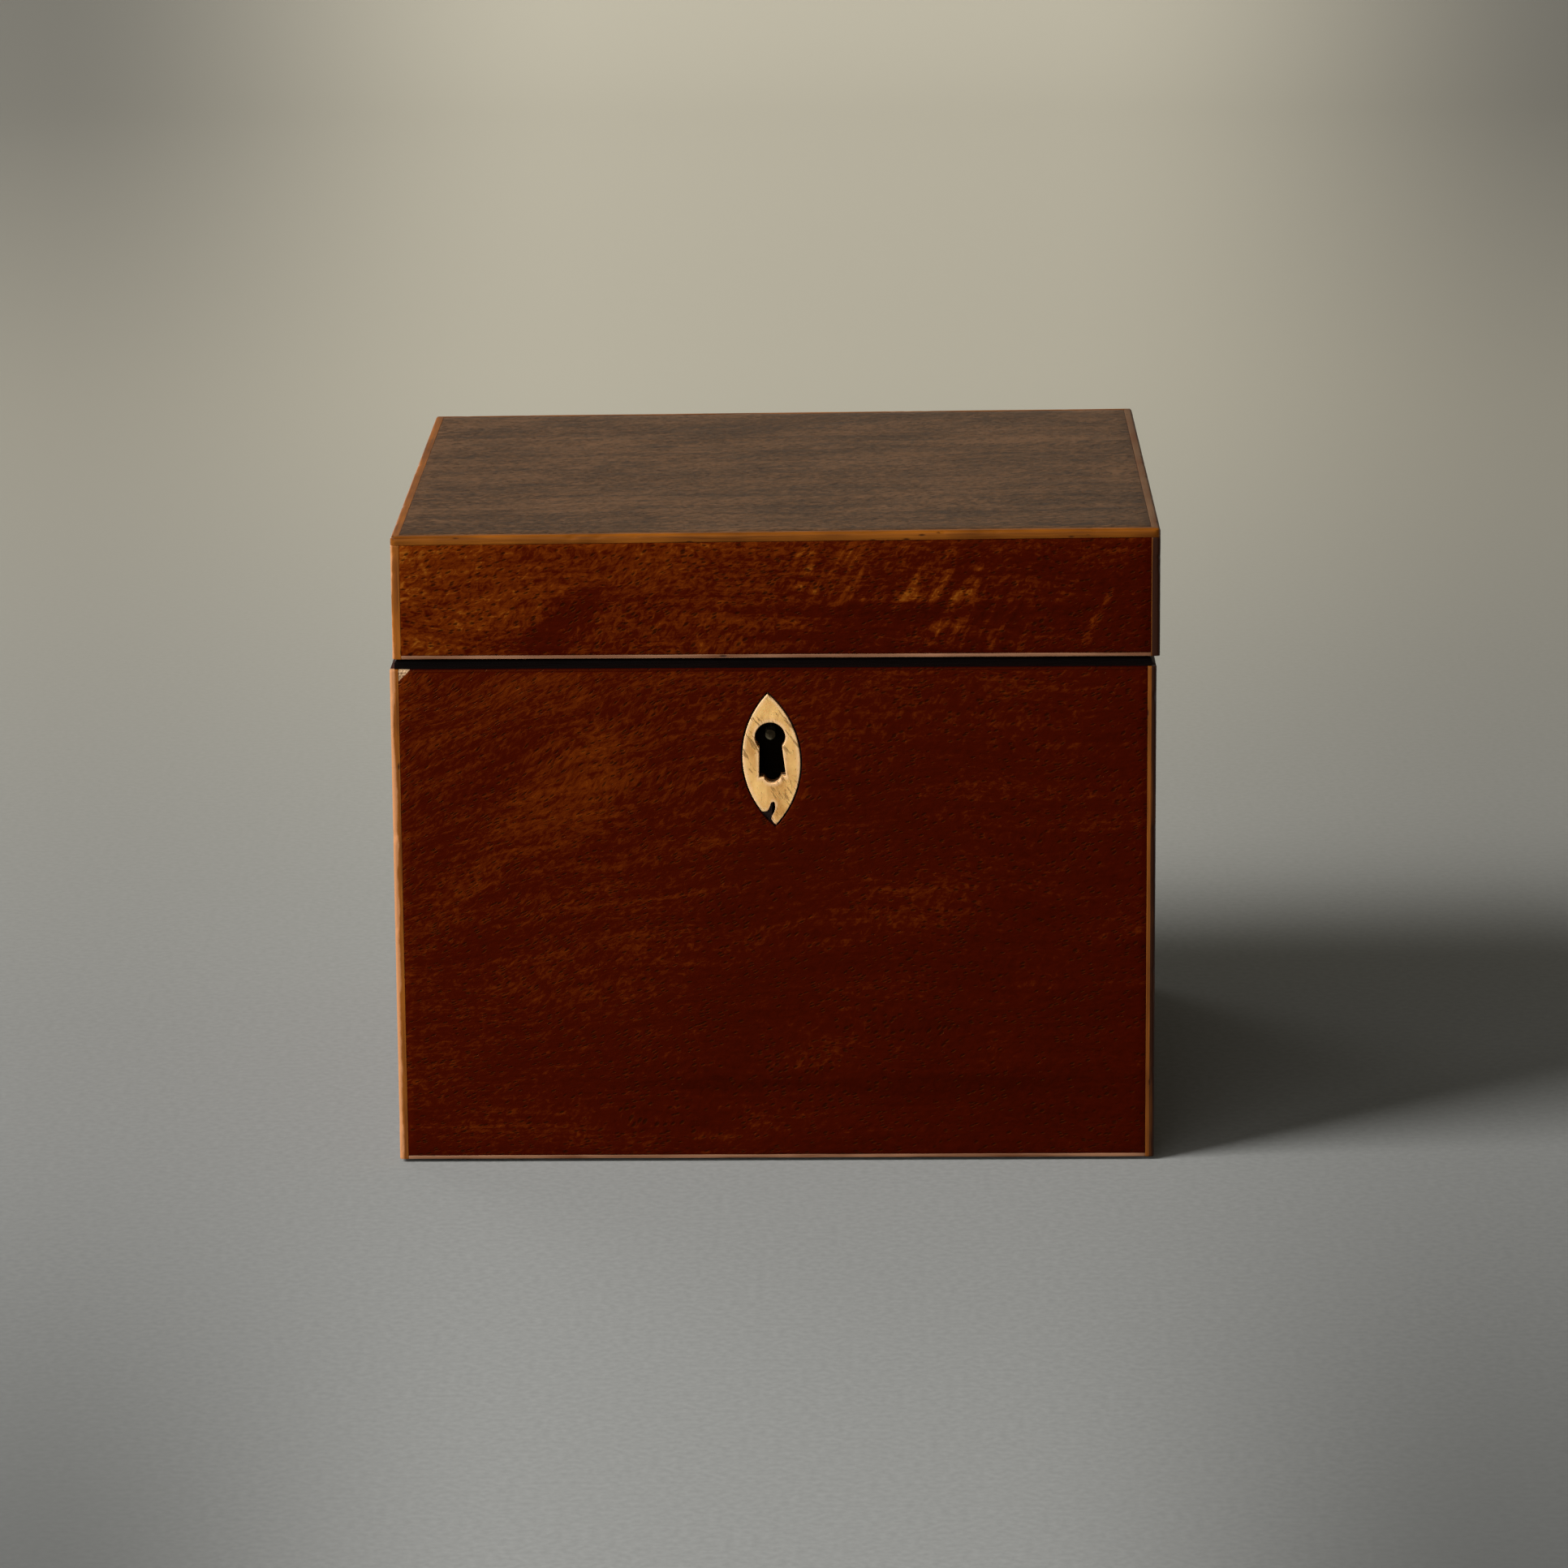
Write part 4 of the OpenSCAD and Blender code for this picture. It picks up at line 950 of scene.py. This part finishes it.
class CADDY_OT_escutcheon(bpy.types.Operator):
    """Bone escutcheon with its keyhole, and the chip lost at its lower point"""

    bl_idname = "tea_caddy.escutcheon"
    bl_label = "Bone escutcheon"

    def execute(self, context):
        foot = -OVAL_DROP - OVAL_H / 2
        tip = OVAL_H / 2
        left_height = np.linspace(tip, -tip + 2.35 * MM, 110)
        right_height = np.linspace(-tip + 0.1 * MM, tip, 120)[:-1]
        left = np.stack([-oval_half(left_height), left_height - OVAL_DROP], -1)
        right = np.stack([oval_half(right_height), right_height - OVAL_DROP], -1)
        chip = LOST_CHIP * MM + [0, foot]
        outer = np.concatenate([left, chip, right])
        beyond_notch = len(left) + 10
        bend = np.zeros_like(outer)
        rest = np.arange(len(outer)) - beyond_notch
        bend[:, 0] = np.where(rest > 0, 0.95 * MM * np.exp(-(np.maximum(rest - 10, 0) / 22) ** 2), 0)
        centre = np.array([0, -3 * MM])
        angle = np.unwrap(np.arctan2(*(outer - centre).T[::-1]))
        angle = np.maximum.accumulate(angle) + np.linspace(0, 0.03, len(angle))
        inner = reach(keyhole_outline(), centre, angle)
        section = rim_section(STRING, BONE_EASE, 12)
        flat, faces = ring(inner, outer, section, bend)
        uneven = (1 + waves(flat[..., :2], 3 * MM, 71)) / 2 * 0.05 * MM
        flat[..., 2] += np.where(flat[..., 2] < 0.2 * MM, uneven, 0)
        placed = flat.copy()
        placed[..., :2] = escutcheon_place(flat[..., :2])
        shape = front_ring((placed, faces), ESCUTCHEON_FACE)
        piece = new_piece("bone_escutcheon", [shape], "caddy_body", bone("bone_inlay", rim=True), "bone",
                          "escutcheon")
        width = np.linalg.norm(outer - inner, axis=-1)[:, None]
        share = np.array(section)[:, 0]
        piece.data.attributes.new("from_edge", "FLOAT", "POINT").data.foreach_set(
            "value", (width * np.minimum(share, 1 - share)).ravel().astype(np.float32))
        return {"FINISHED"}


def keyhole_outline():
    """Round head, flaring skirt and a shallow lobe, as one anticlockwise outline."""
    head, lobe = 2.42 * MM, 1.37 * MM      # radii
    neck_z = -1.62 * MM
    hem, hem_z = 2.13 * MM, -6.3 * MM      # half width, and height
    lobe_z = -7.35 * MM + lobe
    skirt = np.linspace(0, 1, 40)[:, None]
    open_angle = math.asin(neck_z / head)
    arc = np.linspace(open_angle, math.pi - open_angle, 90)
    round_head = head * np.stack([np.cos(arc), np.sin(arc)], -1)
    low_angle = math.asin((hem_z - lobe_z) / lobe)
    lobe_arc = np.linspace(math.pi - low_angle, math.tau + low_angle, 30)
    round_lobe = lobe * np.stack([np.cos(lobe_arc), np.sin(lobe_arc)], -1) + [0, lobe_z]
    left_hem, right_hem = np.array([-hem, hem_z]), np.array([hem, hem_z])
    left = round_head[-1] + skirt * (left_hem - round_head[-1])
    right = right_hem + skirt * (round_head[0] - right_hem)
    return np.concatenate([round_head, left[1:], round_lobe, right[:-1]])


class CADDY_OT_corner_patch(bpy.types.Operator):
    """Pale chip at the upper left corner of the body's front"""

    bl_idname = "tea_caddy.corner_patch"
    bl_label = "Corner patch"

    def execute(self, context):
        look = context.scene.tea_caddy
        low, high = box("corner_patch")
        size = high[X] - low[X]
        corners = np.array([[low[X], high[Z]], [low[X], low[Z]], [high[X], high[Z]]])
        middle = corners.mean(0)
        angles = ring_angles(40, middle, corners)
        outline = reach(corners, middle, angles)
        outline = middle + (outline - middle) * (1 - 0.03 * (1 + waves(outline, size / 2, 81)))[:, None]
        rows = 8
        shares = np.linspace(0.02, 1, rows)[:, None, None]
        stations = np.concatenate([np.full(rows, low[Y]), [high[Y]]])
        loops = np.concatenate([middle + shares * (outline - middle), outline[None]])[:, ::-1, ::-1]
        points, faces = carried(loops, stations, Y)
        front = points[:rows]
        front[..., Y] += (1 + waves(front, 0.9 * MM, 82)) / 2 * 0.22 * MM
        pale = boxwood("boxwood_patch", (X, Z, Y), ground=tuple(look.bone_edge))
        new_piece("corner_chip", [(points, faces)], "caddy_body", pale, "boxwood", "corner_patch")
        return {"FINISHED"}


class CADDY_OT_inside(bpy.types.Operator):
    """Lead foil lining, inner lid with its turned knob, and the baize pads"""

    bl_idname = "tea_caddy.inside"
    bl_label = "Lining, inner lid and baize"

    def execute(self, context):
        look = context.scene.tea_caddy
        new_piece("lead_lining", [foil_shell()], "caddy_body", lead("lead_foil"), "lead_foil", "foil_lining")
        low, high = box("inner_lid")
        knob_low, knob_high = box("inner_lid_knob")
        hole = (knob_high[X] - knob_low[X]) * 0.19
        centre = (low + high)[:2] / 2
        outline = np.array([[low[X], low[Y]], [high[X], low[Y]], [high[X], high[Y]], [low[X], high[Y]]])
        angles = ring_angles(180, centre, outline)
        circle = centre + hole * np.stack([np.cos(angles), np.sin(angles)], -1)
        shape = ring(circle, reach(outline, centre, angles), rim_section(high[Z] - low[Z], 0.5 * MM, 24))
        points, faces = flat_ring(shape, high[Z])
        at_top = points[..., Z] > high[Z] - 0.1 * MM
        points[..., Z] -= at_top * (1 + waves(points, 25 * MM, 91)) / 2 * 0.08 * MM
        panel = mahogany("mahogany_inner_lid", (X, Y, Z), light=0.66, contrast=0.7, roughness=0.45)
        new_piece("inner_lid_board", [(points, faces)], "inner_lid", panel, "mahogany_panel", "inner_lid")
        new_piece("inner_lid_bone_knob", [knob()], "inner_lid", bone("bone_knob"), "bone", "inner_lid_knob")
        green = tuple(look.baize)
        felt = baize("green_baize", tuple(c * 0.5 for c in green), green)
        low, high = box("base_baize")
        pad = bar(low, high, X, 92, ease=0.2 * MM, steps=(60, 50, 1), depth=0.06 * MM, wave=9 * MM)
        new_piece("base_pad", [pad], "caddy_body", felt, "baize", "base_baize")
        low, high = box("lid_lining")
        pad = bar(low, high, X, 93, ease=0.25 * MM, steps=(60, 50, 1), depth=0.12 * MM, wave=9 * MM)
        new_piece("lid_pad", [pad], "lid", felt, "baize", "lid_lining")
        return {"FINISHED"}


def foil_shell():
    """Foil carried as rounded rectangles: from the middle of the floor out, up the wall, and back outside."""
    low, high = box("foil_lining")
    thickness, fillet, radius = 0.3 * MM, 1.2 * MM, 3 * MM
    floor_rows, columns = 33, 240
    middle, half = (low + high)[:2] / 2, (high - low)[:2] / 2
    floor = low[Z] + thickness
    turn = np.linspace(0, np.pi / 2, 6)[1:-1]
    levels = [(share, 0.0, floor) for share in np.linspace(0.01, 1, floor_rows + 1)[:-1]]
    levels += [(1.0, fillet * (1 - math.sin(t)), floor + fillet * (1 - math.cos(t))) for t in turn]
    levels += [(1.0, 0.0, z) for z in np.linspace(floor + fillet, high[Z], 26)]
    inside = len(levels)
    levels += [(1.0, -thickness, high[Z]), (1.0, -thickness, low[Z]), (0.01, 0.0, low[Z])]
    share, draw, height = np.array(levels).T
    around = np.linspace(0, math.tau, columns + 1)[:-1]
    inner = half - thickness - radius
    flat = np.stack([np.cos(around), np.sin(around)], -1)
    square = flat / np.abs(flat).max(-1, keepdims=True)
    edge = np.clip(square * (inner + radius), -inner, inner)
    out = square * (inner + radius) - edge
    out = out / np.maximum(np.linalg.norm(out, axis=-1, keepdims=True), 1e-9) * radius
    rim = edge + out
    outward = rim / np.linalg.norm(rim, axis=-1, keepdims=True)
    loops = middle + share[:, None, None] * rim - draw[:, None, None] * outward
    points = np.concatenate([loops, np.broadcast_to(height[:, None, None], loops.shape[:2] + (1,))], -1)
    crumple = (1 + waves(points, 7 * MM, 94)) / 2 * 0.22 * MM + np.abs(waves(points, 15 * MM, 95)) * 0.25 * MM
    rows = np.arange(len(levels))
    wall = (rows >= floor_rows) & (rows < inside)
    points[..., :2] -= outward * (crumple * wall[:, None])[..., None]
    points[..., Z] += crumple * (rows < floor_rows)[:, None]
    faces = [face[::-1] for face in grid_faces(len(levels), columns, wrap_cols=True)]
    last = (len(levels) - 1) * columns
    return points, faces + [list(range(columns)), list(range(last, last + columns))[::-1]]


def knob():
    """The turned knob's profile: peg, collar, hollow neck and ball."""
    low, high = box("inner_lid_knob")
    top = box("inner_lid")[1][Z]
    collar = (high[X] - low[X]) / 2
    ball = 3 * MM
    neck = 1.55 * MM
    hole = collar * 0.37
    peg = [(0.02 * MM, low[Z]), (hole, low[Z]), (hole, top)]
    foot = [(collar - 0.2 * MM, top), (collar, top + 0.25 * MM), (collar, top + 0.55 * MM),
            (collar - 0.25 * MM, top + 0.8 * MM), (collar - 0.9 * MM, top + 0.85 * MM),
            (collar - 1.1 * MM, top + 1.1 * MM)]
    hollow = [(neck + 0.35 * MM, top + 1.35 * MM), (neck, top + 1.9 * MM), (neck, top + 2.2 * MM)]
    angle = np.linspace(-1.02, np.pi / 2 - 0.01, 26)
    round_ball = list(zip(ball * np.cos(angle), high[Z] - ball + ball * np.sin(angle)))
    return lathe(peg + foot + hollow + round_ball, (low + high) / 2, 64)


class CADDY_OT_wood_and_metal(bpy.types.Operator):
    """Finishes of the boards, rim, ledges, hinges and lock"""

    bl_idname = "tea_caddy.wood_and_metal"
    bl_label = "Boards, rim and fittings"

    def execute(self, context):
        look = context.scene.tea_caddy
        dark, light = tuple(look.carcase_dark), tuple(look.carcase_light)
        along_x = plain_wood("boards_long", (X, Z, Y), dark, light)
        along_y = plain_wood("boards_side", (Y, Z, X), dark, light)
        put(along_x, "back_board", "base_board", "lid_front_board", "lid_back_board", "lid_top_board",
            "ledge_strips")
        put(plain_wood("front_board_glue_and_shade", (X, Z, Y), dark, light, glue_and_shade=box("front_board")[0][Y] + 0.5 * MM),
            "front_board")
        put(along_y, "right_board", "left_board", "lid_right_board", "lid_left_board")
        # dirt and painted shade: near-black rim strips stand for the shaded gap under the lid
        for name, axes, strips in (("rim_long", (X, Y, Z), ("rim_strip_front", "rim_strip_back")),
                                   ("rim_side", (Y, X, Z), ("rim_strip_right", "rim_strip_left"))):
            put(plain_wood(name, axes, tuple(look.rim_dirt_and_shade_deep), tuple(look.rim_dirt_and_shade_pale), coarse=0.6, specular=0.05),
                *strips)
        brass, brass_tarnish = tuple(look.brass), tuple(look.brass_tarnish)
        # painted shade inside the lock, seen through the keyhole
        lock_painted_shade = (box("lock_plate")[1][Y] - 0.4 * MM, box("lock_cap")[1][Z] - 0.1 * MM)
        put(metal("lock_brass", brass, brass_tarnish, shaded_inside=lock_painted_shade), "lock_plate", "lock_cap")
        put(metal("fitting_brass", brass, brass_tarnish), "link_plate", "hinge_leaf_body_left",
            "hinge_leaf_body_right", "hinge_leaf_lid_left", "hinge_leaf_lid_right")
        put(metal("screw_brass", brass, brass_tarnish, share=0.42), "lock_screws", "link_screws",
            "hinge_screws_body", "hinge_screws_lid")
        put(metal("steel_parts", tuple(look.steel), tuple(look.steel_tarnish), rough=0.4), "lock_bolt",
            "lock_spring", "hinge_pin_left", "hinge_pin_right")
        put(metal("key_pin_steel", tuple(look.key_pin), tuple(look.key_pin_tarnish), rough=0.5), "lock_key_pin")
        return {"FINISHED"}


def area_lamp(name, power, size):
    """A rectangular area light, still to be placed."""
    light = bpy.data.lights.new(name, "AREA")
    light.shape, (light.size, light.size_y), light.energy = "RECTANGLE", size, power
    lamp = bpy.data.objects.new(name, light)
    bpy.context.scene.collection.objects.link(lamp)
    return lamp


def soft_light(name, power, size, towards, height, away):
    """A lamp aimed at the caddy, at an angle from the left towards the front, and at a height angle."""
    lamp = area_lamp(name, power, size)
    side, rise = math.radians(towards), math.radians(height)
    aim = Vector((0, 0, 0.05))
    lamp.location = aim + away * Vector((-math.cos(rise) * math.cos(side), -math.cos(rise) * math.sin(side),
                                         math.sin(rise)))
    lamp.rotation_euler = (aim - lamp.location).to_track_quat("-Z", "Y").to_euler()


def backdrop_light(power):
    """A soft light above and behind the caddy that shines away from it, on the backdrop."""
    lamp = area_lamp("backdrop_light", power, (2.0, 0.6))
    lamp.location = (0, 1.15, 1.6)
    lamp.rotation_euler = Vector((0, 0.8, -0.6)).to_track_quat("-Z", "Y").to_euler()


def surroundings(light_colour, strength, seen_colour):
    """The world: dim light of one colour, and another colour where the camera looks past the floor."""
    world = bpy.data.worlds.new("surroundings")
    world.use_nodes = True
    tree = world.node_tree
    lit = tree.nodes["Background"]
    lit.inputs["Color"].default_value = (*light_colour, 1)
    lit.inputs["Strength"].default_value = strength
    seen, mixed = tree.nodes.new("ShaderNodeBackground"), tree.nodes.new("ShaderNodeMixShader")
    seen.inputs["Color"].default_value = (*seen_colour, 1)
    tree.links.new(tree.nodes.new("ShaderNodeLightPath").outputs["Is Camera Ray"], mixed.inputs[0])
    tree.links.new(lit.outputs[0], mixed.inputs[1])
    tree.links.new(seen.outputs[0], mixed.inputs[2])
    tree.links.new(mixed.outputs[0], tree.nodes["World Output"].inputs["Surface"])
    return world


class CADDY_OT_stage(bpy.types.Operator):
    """Camera, pale floor that sweeps up behind, and the soft window light"""

    bl_idname = "tea_caddy.stage"
    bl_label = "Stage"

    def execute(self, context):
        look = context.scene.tea_caddy
        scene = context.scene
        scene.view_settings.view_transform = "Standard"
        eye = Vector((0.01491, -1.0312, 0.28778))
        pitch, yaw, roll = math.radians(13.052), math.radians(-0.795), math.radians(-0.436)
        ahead = Vector((math.sin(yaw) * math.cos(pitch), math.cos(yaw) * math.cos(pitch), -math.sin(pitch)))
        level = Vector((math.cos(yaw), -math.sin(yaw), 0))
        above = level.cross(ahead)
        right = level * math.cos(roll) + above * math.sin(roll)
        up = above * math.cos(roll) - level * math.sin(roll)
        camera_data = bpy.data.cameras.new("camera")
        camera_data.lens, camera_data.sensor_width = 146.5, 36.0
        camera = bpy.data.objects.new("camera", camera_data)
        camera.matrix_world = Matrix((right, up, -ahead)).transposed().to_4x4()
        camera.location = eye
        scene.collection.objects.link(camera)
        scene.camera = camera
        bend = np.linspace(0, np.pi / 2, 24)
        reach_out, curve, back, wall_top = 3.0, 0.6, 1.9, 2.6
        y = np.concatenate([[-reach_out], back - curve + curve * np.sin(bend), [back]])
        z = np.concatenate([[0.0], curve - curve * np.cos(bend), [wall_top]])
        x = np.linspace(-reach_out, reach_out, 9)
        points = np.stack(np.broadcast_arrays(x[None, :], y[:, None], z[:, None]), -1)
        mesh = bpy.data.meshes.new("floor")
        mesh.from_pydata(points.reshape(-1, 3).tolist(), [], grid_faces(len(y), len(x)))
        mesh.shade_smooth()
        mesh.materials.append(cloth_grey("pale_cloth"))
        floor = bpy.data.objects.new("floor", mesh)
        scene.collection.objects.link(floor)
        soft_light("window", look.window_power, (0.75, 0.7), 25, 38, 1.6)
        soft_light("front_fill", look.front_power, (1.4, 0.5), 70, 14, 2.0)
        soft_light("back_fill", look.back_power, (0.9, 0.5), -50, 10, 1.8)
        soft_light("right_fill", look.back_power, (1.2, 0.4), 186, 7, 2.0)
        backdrop_light(look.backdrop_power)
        scene.world = surroundings(look.fill_colour, look.fill, look.floor)
        return {"FINISHED"}


class CADDY_PT_panel(bpy.types.Panel):
    """Lists the caddy's settings and pieces"""

    bl_idname = "CADDY_PT_panel"
    bl_label = "Tea caddy"
    bl_space_type = "VIEW_3D"
    bl_region_type = "UI"
    bl_category = "Tea caddy"

    def draw(self, context):
        for name in TeaCaddySettings.__annotations__:
            self.layout.prop(context.scene.tea_caddy, name)
        for operator in OPERATORS:
            self.layout.operator(operator.bl_idname)


OPERATORS = (CADDY_OT_body_veneers, CADDY_OT_lid_veneers, CADDY_OT_strings, CADDY_OT_escutcheon,
             CADDY_OT_corner_patch, CADDY_OT_inside, CADDY_OT_wood_and_metal, CADDY_OT_stage)


def register():
    for cls in (TeaCaddySettings, *OPERATORS, CADDY_PT_panel):
        bpy.utils.register_class(cls)
    bpy.types.Scene.tea_caddy = PointerProperty(type=TeaCaddySettings)


def unregister():
    del bpy.types.Scene.tea_caddy
    for cls in (CADDY_PT_panel, *reversed(OPERATORS), TeaCaddySettings):
        bpy.utils.unregister_class(cls)


def main():
    """Makes every piece in order."""
    register()
    for operator in OPERATORS:
        getattr(bpy.ops.tea_caddy, operator.bl_idname.split(".")[1])()


if __name__ == "__main__":
    main()
